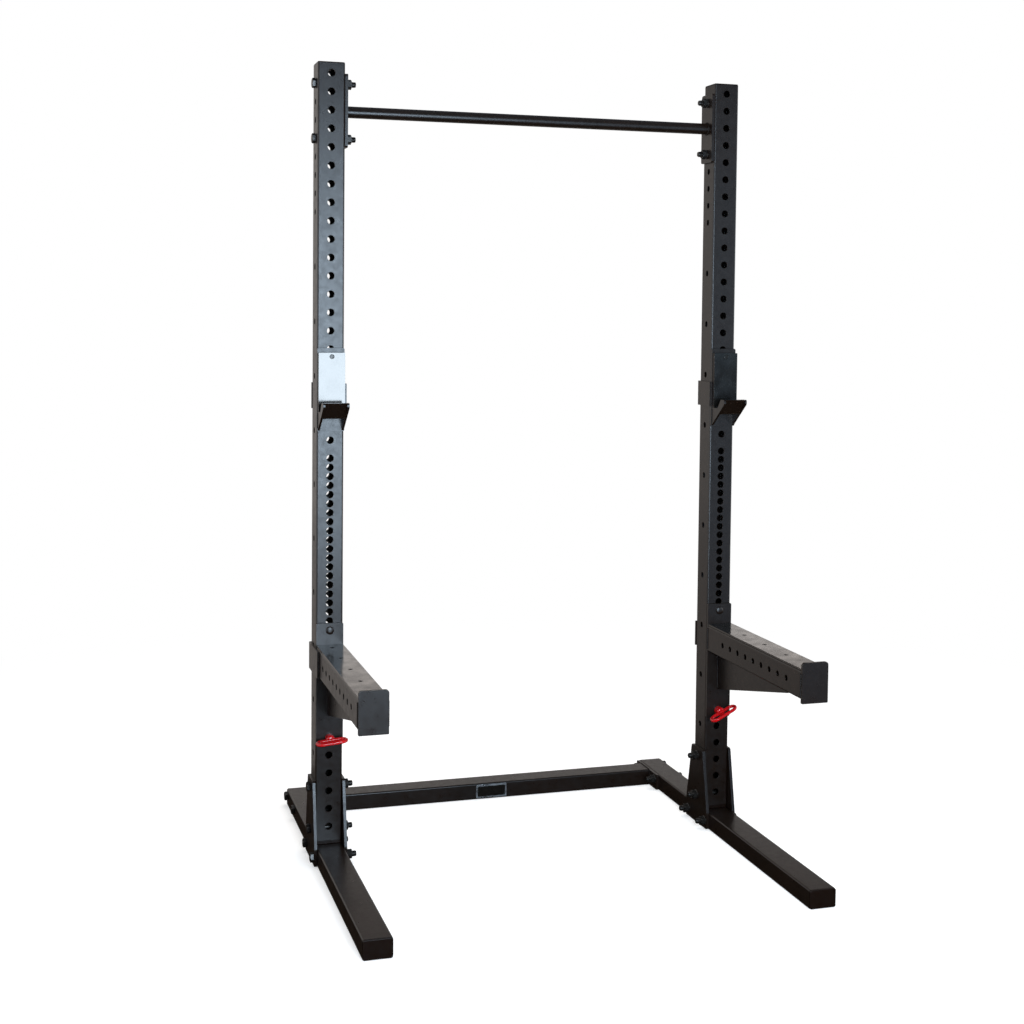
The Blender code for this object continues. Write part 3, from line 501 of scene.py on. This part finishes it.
def end_plates(bm, outline):
    """The plates that end the crossmember and the pull-up bar."""
    for side in (-1, 1):
        prism(bm, outline, "X", side * SPAN_END, side * (SPAN_END + PLATE))


def end_plate_holes(bm, spots):
    for side in (-1, 1):
        for y, z in spots:
            drill(bm, "X", (side * (SPAN_END + PLATE / 2), y, z), BOLT_HOLE, PLATE)


def crossmember():
    node, at = "rear_crossmember", (0, UPRIGHT_Y, 0)
    middle = (CROSS_CENTRE, RUNNER_HEIGHT / 2)
    outside = rectangle(TUBE, RUNNER_HEIGHT, CORNER, middle)
    inside = rectangle(BORE, RUNNER_BORE, BORE_CORNER, middle)
    flange = rectangle(FLANGE_WIDTH, RUNNER_HEIGHT - BASE_LOW, PLATE_CORNER,
                       (CROSS_CENTRE - FLANGE_SHIFT, (RUNNER_HEIGHT + BASE_LOW) / 2))
    past = SPAN_END + 2 * PLATE
    piece = make("low_crossmember", at,
                 lambda bm: prism(bm, outside, "X", -SPAN_END - SINK, SPAN_END + SINK))
    combine(piece, [
        ("UNION", lambda bm: end_plates(bm, flange)),
        ("DIFFERENCE", lambda bm: prism(bm, inside, "X", -past, past)),
        ("DIFFERENCE", lambda bm: end_plate_holes(bm, CROSS_BOLTS))])
    dress(piece, node, bevel=0.0005)
    above, below = 0.004, 0.006  # the bead's two ends lie between, as the underside has no bead
    around = rectangle(TUBE, RUNNER_HEIGHT - 0.001, CORNER, middle, steps=3)
    around = [(y, z) for y, z in around if z > above]
    start = max((i for i, (_, z) in enumerate(around) if z < below), key=lambda i: around[i][0])
    around = around[start:] + around[:start]
    paths = [[(side * SPAN_END, y, z) for y, z in around] for side in (-1, 1)]
    welds("crossmember_welds", node, at, paths, radius=0.0028)


def pull_up_bar():
    node, at = "pull_up_bar", (0, UPRIGHT_Y, BAR_Z)
    plate = rectangle(TUBE, BAR_PLATE_HEIGHT, 0.007)
    spots = ((0, BAR_BOLT_REACH), (0, -BAR_BOLT_REACH))

    def round_bar(bm, diameter, reach):
        prism(bm, polygon(diameter, 48), "X", -reach, reach)

    piece = make("straight_pull_up_bar", at, lambda bm: round_bar(bm, BAR, SPAN_END + PLATE / 2))
    combine(piece, [
        ("UNION", lambda bm: end_plates(bm, plate)),
        ("DIFFERENCE", lambda bm: round_bar(bm, BAR_BORE, SPAN_END + 2 * PLATE)),
        ("DIFFERENCE", lambda bm: end_plate_holes(bm, spots))])
    dress(piece, node, bevel=0.0008)
    around = polygon(BAR + 0.0005, 32)
    paths = [[(side * (SPAN_END - WELD_SINK), y, z) for y, z in around] for side in (-1, 1)]
    welds("pull_up_bar_welds", node, at, paths, radius=0.0030, closed=True)


# Fasteners, lofted along X from the head's top to the thread's tip

ANGLES = [i * math.pi / 24 for i in range(48)]


def ring(diameter, level):
    radius = diameter / 2
    return [(level, radius * math.cos(a), radius * math.sin(a)) for a in ANGLES]


def hex_ring(level, round_to=None):
    """A ring on a hexagon, or on the circle that cuts its corners off."""
    points = []
    for angle in ANGLES:
        fold = (angle + math.pi / 6) % (math.pi / 3) - math.pi / 6
        radius = HEX / 2 / math.cos(fold)
        if round_to:
            radius = min(radius, round_to)
        points.append((level, radius * math.cos(angle), radius * math.sin(angle)))
    return points


def thread(start, end):
    """Rings of a cut thread from one level down to another."""
    rings = []
    level = start
    while level - PITCH > end:
        rings += [ring(SHANK, level), ring(SHANK, level - PITCH * 0.2),
                  ring(ROOT, level - PITCH * 0.55), ring(ROOT, level - PITCH * 0.7)]
        level -= PITCH
    return rings + [ring(SHANK, level)]


def head_rings():
    """A head with its top corners cut to a circle and a washer face below."""
    cut, washer = 0.0122, 0.0228
    return [hex_ring(HEAD, cut - 0.0012), hex_ring(HEAD - 0.0004, cut), hex_ring(HEAD - 0.0016),
            hex_ring(0.0006), ring(washer, 0.0006), ring(washer, 0)]


def nut_rings(face, bored):
    """A flange nut on its seat at face, its outer end cut round, towards -X."""
    collar = ((0.0272, 0), (0.0276, 0.0012), (0.0240, 0.0026))
    flats = ((0.0030, 0.0124), (0.0040, None), (0.0137, None), (0.0147, 0.0125), (NUT, 0.0108))
    bore = ((BOLT_HOLE + 0.002, NUT), (BOLT_HOLE, 0.0140), (BOLT_HOLE, 0.0008), (BOLT_HOLE + 0.0016, 0))
    rings = [ring(size, face - depth) for size, depth in collar]
    rings += [hex_ring(face - depth, round_to) for depth, round_to in flats]
    if bored:
        rings += [ring(size, face - depth) for size, depth in bore]
    return rings


def shank_rings(grip, joined):
    """A shank with its thread, and a nut in the same solid where the frame has the two as one."""
    tip = -(grip + NUT + GAP + TAIL)
    if joined:
        face = -(grip + GAP)
        rings = [ring(SHANK, 0), ring(SHANK, face)] + nut_rings(face, False) + [ring(SHANK, face - NUT)]
        start = face - 0.0152
    else:
        rings = [ring(SHANK, 0), ring(SHANK, -grip + 0.02)]
        start = -grip + 0.018
    return rings + thread(start, tip + 0.0016) + [ring(TIP, tip)]


def fastener(name, node, location, side, rings, closed=False):
    bm = bmesh.new()
    loft(bm, rings, closed=closed)
    turns = [(math.pi, "Z")] if side < 0 else []
    if node in HEAD_TURNS:
        turns.append((math.radians(HEAD_TURNS[node]), "X"))
    for angle, axis in turns:
        bmesh.ops.rotate(bm, verts=bm.verts, cent=(0, 0, 0), matrix=Matrix.Rotation(angle, 3, axis))
    dress(solid(name, bm, location), node)


def fasteners():
    short, long = TUBE + 2 * GAP + PLATE, TUBE + 3 * GAP + 2 * PLATE
    kinds = (("bar", short, 0, BAR_BOLTS), ("base", long, GAP + PLATE, BASE_BOLTS),
             ("cross", short, 0, CROSS_BOLTS))
    for label, side in SIDES.items():
        for kind, grip, stand_off, spots in kinds:
            for number, (y, z) in enumerate(spots, 1):
                ending = f"{number}_{label}"
                joined = kind == "cross" and number == 2
                at = (side * (UPRIGHT_X + HALF + GAP + stand_off), UPRIGHT_Y + y, z)
                fastener(f"hex_{kind}_bolt_{ending}", f"{kind}_bolt_{ending}", at, side,
                         head_rings() + shank_rings(grip, joined))
                if not joined:
                    at = (side * (SPAN_END - GAP), UPRIGHT_Y + y, z)
                    fastener(f"flange_{kind}_nut_{ending}", f"{kind}_nut_{ending}", at, side,
                             nut_rings(0, True), closed=True)


def screw(name, node, at, axis, size):
    """A countersunk socket screw, its head facing -Y or +Z, with a hexagonal recess."""
    facing = -1 if axis == "Y" else 1
    half = size / 2
    profile = ((0.5, -0.0022), (0.98, -0.0006), (1, -0.0002), (0.94, 0.0001), (0.55, 0.0001))
    rings = []
    for share, level in profile:
        outline = [(half * share * math.cos(a), half * share * math.sin(a)) for a in ANGLES]
        rings.append([place(p, axis, facing * level) for p in outline])
    recess = [(y * 0.5 * half / (HEX / 2), z * 0.5 * half / (HEX / 2)) for _, y, z in hex_ring(0)]
    for level in (-0.0001, -0.0018):
        rings.append([place(p, axis, facing * level) for p in recess])
    piece = make(name, at, lambda bm: loft(bm, rings))
    dress(piece, node, slot="fastener_steel", stands_in=False)


# Brackets

def stud(bm, head=None):
    """A stud in the upright's index hole, and its domed head in front of the face plate, if any."""
    back = BRACKET_BACK
    front = back - SINK if head is None else BRACKET_ROOT
    profile = [(STUD, front)] + [(STUD - less, back + level) for less, level in STUD_TIP]
    if head:
        dome = [(head * math.cos(t), BRACKET_FACE - 0.0016 - 0.0034 * math.sin(t))
                for t in (k * math.pi / 14 for k in range(6, -1, -1))]
        profile = dome + [(head, BRACKET_ROOT)] + profile
    turned(bm, profile, "Y")


def wrap(bm, toward, front, low, high):
    """A plate bent round one side of the upright, which ends just past the tube's far side."""
    inside, outside = HALF + GAP, HALF + GAP + WRAP_PLATE
    far = -(HALF + WRAP_PAST)
    outline = rounded([
        (toward * outside, front, 0), (toward * outside, outside, WRAP_BEND), (toward * far, outside, 0),
        (toward * far, inside, 0), (toward * inside, inside, 0.001), (toward * inside, BRACKET_BACK, 0),
        (toward * (HALF - SINK), BRACKET_BACK, 0), (toward * (HALF - SINK), front, 0)], 6)
    prism(bm, outline, "Z", low, high)


def hook_line(depth):
    """Where seat and lip meet, and the lip's tip, on a line at a depth below the liner's surface."""
    wall = BRACKET_FACE - GAP - LINER
    seat = -SEAT_DROP - depth
    corner = wall - SEAT_DEPTH - depth * math.tan(LIP_SLOPE / 2)
    top = -SEAT_DROP + LIP_RISE
    return (corner, seat), (corner - (top - seat) / math.tan(LIP_SLOPE), top)


def cup(label, side):
    """The bracket: face plate, stud, wrap, two cheeks and a hook of one bent plate."""
    at = on_upright(side, CUP_Z)
    plate = rectangle(TUBE, CUP_PLATE, PLATE_CORNER, (0, CUP_PLATE_CENTRE))
    root = BRACKET_ROOT
    (corner, _), (tip, top) = hook_line(0)
    upper, upper_tip = hook_line(SEAT_LINER + GAP)
    lower, lower_tip = hook_line(SEAT_LINER + GAP + HOOK)
    hook = rounded([(root, upper[1], 0), (*upper, BEND), (*upper_tip, 0), (*lower_tip, 0),
                    (*lower, BEND + HOOK), (root, lower[1], 0)])
    nose = lower_tip[0] - SINK
    cheek = rounded([(root, CHEEK_LOW, 0), (nose, top - 0.013, 0.008), (nose, top, 0.005),
                     (tip, top, 0.001), (corner, -SEAT_DROP, 0.008), (root, -SEAT_DROP, 0)])

    def cheeks(bm):
        for x in (-1, 1):
            prism(bm, cheek, "X", x * CHEEK_IN, x * CHEEK_OUT)

    piece = make(f"twist_cup_{label}", at,
                 lambda bm: prism(bm, plate, "Y", BRACKET_FACE, BRACKET_BACK))
    combine(piece, [
        ("UNION", stud),
        ("UNION", lambda bm: wrap(bm, -side, BRACKET_FACE, -TWIST_DROP - CUP_WRAP, -TWIST_DROP)),
        ("UNION", cheeks),
        ("UNION", lambda bm: prism(bm, hook, "X", -HOOK_HALF, HOOK_HALF))])
    dress(piece, f"cup_bracket_{label}", bevel=0.0007)
    y, z = BRACKET_FACE - WELD_SINK, lower[1] - WELD_SINK
    rim = HALF - 0.002
    paths = [[(x, y, -0.166), (x, y, -0.124)] for x in (-0.0362, 0.0362)]
    paths.append([(-rim + 0.006, y, z), (rim - 0.006, y, z)])
    welds(f"cup_welds_{label}", f"cup_bracket_{label}", at, paths, radius=0.0022)


def cup_liner(label, side):
    """Back pad, seat and lip in one piece of plastic, and the screw through the pad."""
    at = on_upright(side, CUP_Z)
    back, face = BRACKET_FACE - GAP, BRACKET_FACE - GAP - LINER
    (corner, seat), (tip, top) = hook_line(0)
    low, low_tip = hook_line(SEAT_LINER)
    overlap = -SEAT_DROP + LINER
    edge = 0.0015
    trough = rounded([(back, overlap, 0), (back, low[1], edge), (*low, BEND - GAP), (*low_tip, edge),
                      (tip, top, 0.003), (corner, seat, 0.007), (face, seat, 0.005),
                      (face, overlap, 0)])
    pad = rectangle(2 * PAD_HALF, PAD_TOP + SEAT_DROP - GAP, edge,
                    (0, (PAD_TOP - SEAT_DROP + GAP) / 2))

    def counterbore(bm):
        turned(bm, [(COUNTERBORE, face - 0.002), (COUNTERBORE, face + COUNTERBORE_DEPTH)], "Y")
        for vert in bm.verts:
            vert.co.z += CUP_SCREW_RISE

    piece = make(f"cup_pad_{label}", at, lambda bm: prism(bm, pad, "Y", face, back))
    combine(piece, [("UNION", lambda bm: prism(bm, trough, "X", -TROUGH_HALF, TROUGH_HALF)),
                    ("DIFFERENCE", counterbore)])
    dress(piece, f"cup_liner_{label}", bevel=0.0012, segments=3)
    piece.data.materials.append(FINISHES["moulded_plastic"])
    for flat in piece.data.polygons:
        flat.material_index = int(abs(flat.normal.x) > 0.9)  # the cut sides are duller than the faces
    screw(f"cup_screw_{label}", f"cup_liner_{label}",
          (at[0], at[1] + face + 0.0012, at[2] + CUP_SCREW_RISE), "Y", CUP_SCREW)


def arm(label, side):
    """Face plate, headed stud, wrap, drilled tube, centre gusset and end plate."""
    at = on_upright(side, ARM_Z)
    pin_drop = ARM_Z - PIN_Z
    middle = (0, ARM_TOP - HALF)
    plate = rectangle(TUBE, pin_drop + PLATE_PAST, PLATE_CORNER, (0, -pin_drop / 2))
    high, low = ARM_TOP + END_RISE, ARM_LOW - END_DROP
    end = rounded([(-HALF, low, END_CORNER), (HALF, low, END_CORNER),
                   (HALF, high, HEAD_CORNER), (-HALF, high, HEAD_CORNER)])
    gusset = [(BRACKET_ROOT, ARM_LOW + SINK), (BRACKET_ROOT, ARM_LOW - GUSSET_DEPTH),
              (GUSSET_NOSE, ARM_LOW - NOSE_DEPTH), (GUSSET_NOSE - NOSE_SLOPE, ARM_LOW + SINK)]

    def arm_tube(bm):
        outer, inner = rectangle(TUBE, TUBE, CORNER, middle), rectangle(BORE, BORE, BORE_CORNER, middle)
        tube(bm, outer, inner, "Y", END_BACK - SINK, BRACKET_ROOT)

    def holes(bm):
        for y in ARM_HOLES:
            for wall in (-1, 1):
                drill(bm, "X", (wall * (HALF - WALL / 2), y, middle[1]), ARM_HOLE, WALL)
        drill(bm, "Y", (0, (BRACKET_FACE + BRACKET_BACK) / 2, -pin_drop), HOLE, PLATE)

    piece = make(f"safety_arm_{label}", at,
                 lambda bm: prism(bm, plate, "Y", BRACKET_FACE, BRACKET_BACK))
    combine(piece, [
        ("UNION", lambda bm: stud(bm, STUD_HEAD)),
        ("UNION", arm_tube),
        ("UNION", lambda bm: wrap(bm, side, BRACKET_FACE - ARM_WRAP, ARM_LOW, ARM_TOP - ARM_WRAP_DROP)),
        ("UNION", lambda bm: prism(bm, gusset, "X", -PLATE / 2, PLATE / 2)),
        ("UNION", lambda bm: prism(bm, end, "Y", END_FACE, END_BACK)),
        ("DIFFERENCE", holes)])
    dress(piece, f"spotter_arm_{label}", bevel=0.0006)


def arm_welds(label, side):
    """Beads where the tube and the gusset meet the face plate, the tube and the end plate."""
    short, clear = 0.004, 0.006  # a bead stops this far before an edge, or before another bead
    rim = HALF - short
    y = BRACKET_FACE - WELD_SINK
    paths = [[(-rim, y, ARM_TOP), (rim, y, ARM_TOP)],
             [(-side * HALF, y, ARM_TOP - clear), (-side * HALF, y, ARM_LOW + clear)],
             [(-rim, y, ARM_LOW), (-clear, y, ARM_LOW)],
             [(clear, y, ARM_LOW), (rim, y, ARM_LOW)]]
    for x in (-1, 1):
        edge = x * (PLATE / 2 + 0.0002)
        paths.append([(edge, y, ARM_LOW - short), (edge, y, ARM_LOW - GUSSET_DEPTH + short)])
        paths.append([(edge, y - clear, ARM_LOW), (edge, GUSSET_NOSE + short, ARM_LOW)])
    y = END_BACK + WELD_SINK
    paths.append([(-rim, y, ARM_LOW), (rim, y, ARM_LOW)])
    paths += [[(x, y, ARM_LOW + clear), (x, y, ARM_TOP - clear)] for x in (HALF, -HALF)]
    welds(f"arm_welds_{label}", f"spotter_arm_{label}", on_upright(side, ARM_Z), paths, radius=0.0026)


def arm_strip(label, side):
    """The plastic strip on the arm, with a screw in each recess."""
    top = ARM_Z + ARM_TOP
    rear, front, half = BRACKET_FACE - STRIP_INSET, END_BACK + STRIP_INSET, HALF - STRIP_INSET
    outline = [(-half, front), (half, front), (half, rear), (-half, rear)]

    def recesses(bm):
        for y in STRIP_SCREWS:
            rings = []
            for size, level in STRIP_RECESS:
                rings.append([(u, y + v, GAP + level) for u, v in polygon(size)])
            loft(bm, rings)

    piece = make(f"wear_strip_{label}", on_upright(side, top),
                 lambda bm: prism(bm, outline, "Z", GAP, GAP + STRIP))
    combine(piece, [("DIFFERENCE", recesses)])
    dress(piece, f"arm_strip_{label}", bevel=0.0007)
    for i, y in enumerate(STRIP_SCREWS, 1):
        screw(f"strip_screw_{i}_{label}", f"arm_strip_{label}",
              (side * UPRIGHT_X, UPRIGHT_Y + y, top + GAP + 0.0043), "Z", STRIP_SCREW)


# Locking pins

def loop(bm):
    """A closed wire loop that lies level in front of the boss."""
    points = []
    for end in (1, -1):
        for step in range(25):
            angle = end * math.pi / 2 - math.pi * step / 24
            points.append((end * LOOP_STRAIGHT + LOOP_BEND * math.cos(angle),
                           LOOP_CENTRE + LOOP_BEND * math.sin(angle)))
    section = polygon(WIRE, 24)
    rings = []
    for i, (x, y) in enumerate(points):
        before, after = points[i - 1], points[(i + 1) % len(points)]
        run = math.hypot(after[0] - before[0], after[1] - before[1])
        across = ((after[1] - before[1]) / run, -(after[0] - before[0]) / run)
        rings.append([(x + across[0] * a, y + across[1] * a, b) for a, b in section])
    loft(bm, rings, closed=True)


def pin(label, side):
    """A bright pin and the red handle on it, a domed boss with the loop."""
    at = (side * UPRIGHT_X, UPRIGHT_Y + BRACKET_FACE, PIN_Z)
    shank = [(STUD, PIN_HEAD)] + [(STUD - less, level) for less, level in PIN_TIP]
    dress(make(f"round_pin_{label}", at, lambda bm: turned(bm, shank, "Y")), f"locking_pin_{label}")
    boss = [(0.0245, -GAP), (BOSS, -0.0012)]
    boss += [(BOSS * math.cos(t) ** 0.6, -BOSS_LENGTH - BOSS_DOME * math.sin(t))
             for t in (k * math.pi / 16 for k in range(8))]
    turn = math.radians(LOOP_TURNS[label])
    piece = make(f"red_loop_{label}", at, lambda bm: turned(bm, boss, "Y"))
    piece.rotation_euler.y = turn
    combine(piece, [
        ("UNION", loop),
        ("DIFFERENCE", lambda bm: prism(bm, polygon(BOSS_BORE), "Y", -BORE_END, BORE_END))], turn)
    dress(piece, f"pin_handle_{label}", bevel=0.0010, segments=3, angle=50)


def nameplate():
    """A bare plate with a light border on the crossmember's front."""
    y = UPRIGHT_Y + CROSS_CENTRE - HALF
    for name, width, height, thick, slot in (
            ("blank_plate_rim", 0.099, 0.042, 0.0009, "bright_steel"),
            ("blank_plate_face", 0.089, 0.032, 0.0012, "liner_plastic")):
        outline = rectangle(width, height, 0.003, (0.0055, 0.025))
        piece = make(name, (0, y, 0), lambda bm: prism(bm, outline, "Y", -thick, 0.0))
        dress(piece, "rear_crossmember", bevel=0.0002, slot=slot, stands_in=False)


# Studio: pale floor, white background, soft lamps, and panels that only reflections see

BLUE = (0.46, 0.72, 1.0)
PANELS = (  # name, axis of its normal, place along it, lowest and highest corner, colour
    ("dark_floor", "Z", -0.0004, (-2.4, -5), (3.2, 0.95), (0.022, 0.015, 0.010)),
    ("brown_floor", "Z", -0.0004, (-3.2, 0.95), (3.2, 7), (0.36, 0.33, 0.31)),
    ("blue_floor", "Z", 0.002, (1.3, -5), (4, -2.5), (0.48, 0.72, 1.0)),
    ("brown_back", "Y", 7, (-4.5, 0), (0.3, 4.5), (0.60, 0.56, 0.53)),
    ("pale_back", "Y", 7, (0.3, 0), (5.5, 2), (0.50, 0.48, 0.46)),
    ("bright_back_high", "Y", 6.9, (-1, 2.2), (5.5, 2.62), (1.38, 1.27, 1.20)),
    ("blue_front_low", "Y", -5, (-7, 0), (7, 0.8), BLUE),
    ("dark_front", "Y", -5, (-7, 0.8), (7, 1.3), (0.04, 0.05, 0.07)),
    ("blue_front_high", "Y", -5, (-7, 1.3), (7, 2.65), BLUE),
    ("blue_ceiling", "Z", 2.65, (-2.5, -5), (5.5, 0.95), (0.12, 0.17, 0.23)),
    ("dark_ceiling", "Z", 2.65, (-0.3, 0.95), (5.5, 7), (0.06, 0.05, 0.05)),
    ("glow_left", "X", -7, (-4.5, 0.2), (4.5, 2.4), (2.3, 2.4, 2.6)),
    ("glow_right", "X", 7, (-4.5, 0.2), (4.5, 2.4), (2.3, 2.4, 2.6)),
)
LAMPS = (  # name, place, aim, size, power, colour
    ("softbox", (-0.10, -3.45, 1.27), (-0.10, 0, 1.27), (1.3, 1.85), 155, (0.68, 0.84, 1.0)),
    ("edge", (-3.2, -1.7, 1.3), (-0.2, 0, 1.3), (0.5, 2.3), 24, (0.85, 0.93, 1.0)),
    ("fill", (3.6, -2.6, 1.8), (0, 0, 0.9), (2.0, 2.0), 30, (0.78, 0.90, 1.0)),
    ("top", (0.2, 0.2, 4.6), (0, 0, 0), (3.0, 3.0), 75, (1.0, 0.98, 0.95)),
)
WHITE = (1, 1, 1)
FLOOR_REACH, FLOOR_Z = 14, -0.0006
SHADE_END, WHITE_START = 1.6, 3.2  # between these distances the shaded floor fades to plain white


def seen(tree):
    """1 for rays that come from the camera, from a reflection or through glass, otherwise 0."""
    path = tree.nodes.new("ShaderNodeLightPath")
    total = path.outputs["Is Camera Ray"]
    for kind in ("Is Glossy Ray", "Is Transmission Ray"):
        add = tree.nodes.new("ShaderNodeMath")
        add.operation = "MAXIMUM"
        tree.links.new(total, add.inputs[0])
        tree.links.new(path.outputs[kind], add.inputs[1])
        total = add.outputs[0]
    return total


def mixed(tree, fac, first, second):
    mix = tree.nodes.new("ShaderNodeMixShader")
    tree.links.new(fac, mix.inputs["Fac"])
    tree.links.new(first, mix.inputs[1])
    tree.links.new(second, mix.inputs[2])
    return mix.outputs[0]


def glow(tree, kind, colour, strength):
    """An emission or background shader."""
    node = tree.nodes.new(kind)
    node.inputs["Color"].default_value = (*colour, 1)
    node.inputs["Strength"].default_value = strength
    return node.outputs[0]


def world():
    """White where it is seen, and a dimmer light on the object."""
    new = bpy.data.worlds.new("studio")
    bpy.context.scene.world = new
    new.use_nodes = True
    tree = new.node_tree
    tree.nodes.clear()
    out = tree.nodes.new("ShaderNodeOutputWorld")
    soft = glow(tree, "ShaderNodeBackground", (0.92, 0.95, 1.0), 0.5)
    white = glow(tree, "ShaderNodeBackground", WHITE, 1.0)
    tree.links.new(mixed(tree, seen(tree), soft, white), out.inputs["Surface"])


def surface_of(tree):
    """The surface socket of a material's output."""
    return [n for n in tree.nodes if n.type == "OUTPUT_MATERIAL"][0].inputs["Surface"]


def floor_material():
    """White where it is seen, apart from the object's shadow, and plain white far away."""
    new, tree, shader = nodes_of("pale_floor")
    shader.inputs["Base Color"].default_value = (0.81, 0.78, 0.75, 1)
    shader.inputs["Roughness"].default_value = 0.9
    shader.inputs["Specular IOR Level"].default_value = 0.0
    add = tree.nodes.new("ShaderNodeAddShader")
    tree.links.new(shader.outputs[0], add.inputs[0])
    tree.links.new(glow(tree, "ShaderNodeEmission", WHITE, 0.45), add.inputs[1])
    white = glow(tree, "ShaderNodeEmission", WHITE, 1.0)
    coordinates = tree.nodes.new("ShaderNodeTexCoord")
    length = tree.nodes.new("ShaderNodeVectorMath")
    length.operation = "LENGTH"
    tree.links.new(coordinates.outputs["Object"], length.inputs[0])
    far = tree.nodes.new("ShaderNodeMapRange")
    far.inputs["From Min"].default_value = SHADE_END
    far.inputs["From Max"].default_value = WHITE_START
    tree.links.new(length.outputs["Value"], far.inputs["Value"])
    shown = mixed(tree, far.outputs["Result"], add.outputs[0], white)
    tree.links.new(mixed(tree, seen(tree), shader.outputs[0], shown), surface_of(tree))
    return new


def sheet(name, axis, level, low, high, material):
    """A flat rectangle of the studio across an axis."""
    corners = (low, (high[0], low[1]), high, (low[0], high[1]))
    bm = bmesh.new()
    bm.faces.new([bm.verts.new(place(corner, axis, level)) for corner in corners])
    mesh = bpy.data.meshes.new(name)
    bm.to_mesh(mesh)
    bm.free()
    mesh.materials.append(material)
    piece = bpy.data.objects.new(name, mesh)
    bpy.context.scene.collection.objects.link(piece)
    return piece


def panel(name, axis, level, low, high, colour):
    """A panel that reflections see, and that the camera and the light on the object don't."""
    new, tree, _ = nodes_of(name)
    tree.links.new(glow(tree, "ShaderNodeEmission", colour, 1.0), surface_of(tree))
    piece = sheet(name, axis, level, low, high, new)
    piece.visible_camera = False
    piece.visible_diffuse = False
    piece.visible_shadow = False
    piece.visible_transmission = False


def lamp(name, at, target, size, power, colour):
    data = bpy.data.lights.new(name, "AREA")
    data.shape = "RECTANGLE"
    data.size, data.size_y = size
    data.energy = power
    data.color = colour
    light = bpy.data.objects.new(name, data)
    light.location = at
    light.rotation_euler = (Vector(target) - Vector(at)).to_track_quat("-Z", "Y").to_euler()
    light.visible_camera = False
    bpy.context.scene.collection.objects.link(light)


def studio():
    world()
    reach = FLOOR_REACH
    sheet("floor", "Z", FLOOR_Z, (-reach, -reach), (reach, reach), floor_material())
    for entry in PANELS:
        panel(*entry)
    for entry in LAMPS:
        lamp(*entry)


def camera():
    """The camera that took the photograph, as recovered from the rack's edges."""
    x, y, z = -1.328, -4.0756, 1.5378
    ahead = Vector((0.2885, 0.9563, -0.0473)).normalized()
    up = Vector((0.0044, 0.0481, 0.9988))
    right = ahead.cross(up).normalized()
    up = right.cross(ahead).normalized()
    data = bpy.data.cameras.new("camera")
    data.lens = 53.80
    data.sensor_width = 36.0
    data.shift_x = 0.0038
    data.shift_y = -0.127
    data.clip_start, data.clip_end = 0.1, 100
    eye = bpy.data.objects.new("camera", data)
    eye.matrix_world = Matrix((
        (right.x, up.x, -ahead.x, x), (right.y, up.y, -ahead.y, y), (right.z, up.z, -ahead.z, z),
        (0, 0, 0, 1)))
    bpy.context.scene.collection.objects.link(eye)
    bpy.context.scene.camera = eye


for label, side in SIDES.items():
    upright(label, side)
    runner(label, side)
    caps(label, side)
    base_plate(label, side, "outer", 1)
    base_plate(label, side, "inner", -1)
    cup(label, side)
    cup_liner(label, side)
    arm(label, side)
    arm_welds(label, side)
    arm_strip(label, side)
    pin(label, side)
crossmember()
pull_up_bar()
fasteners()
nameplate()
studio()
camera()
bpy.context.scene.view_settings.view_transform = "Standard"
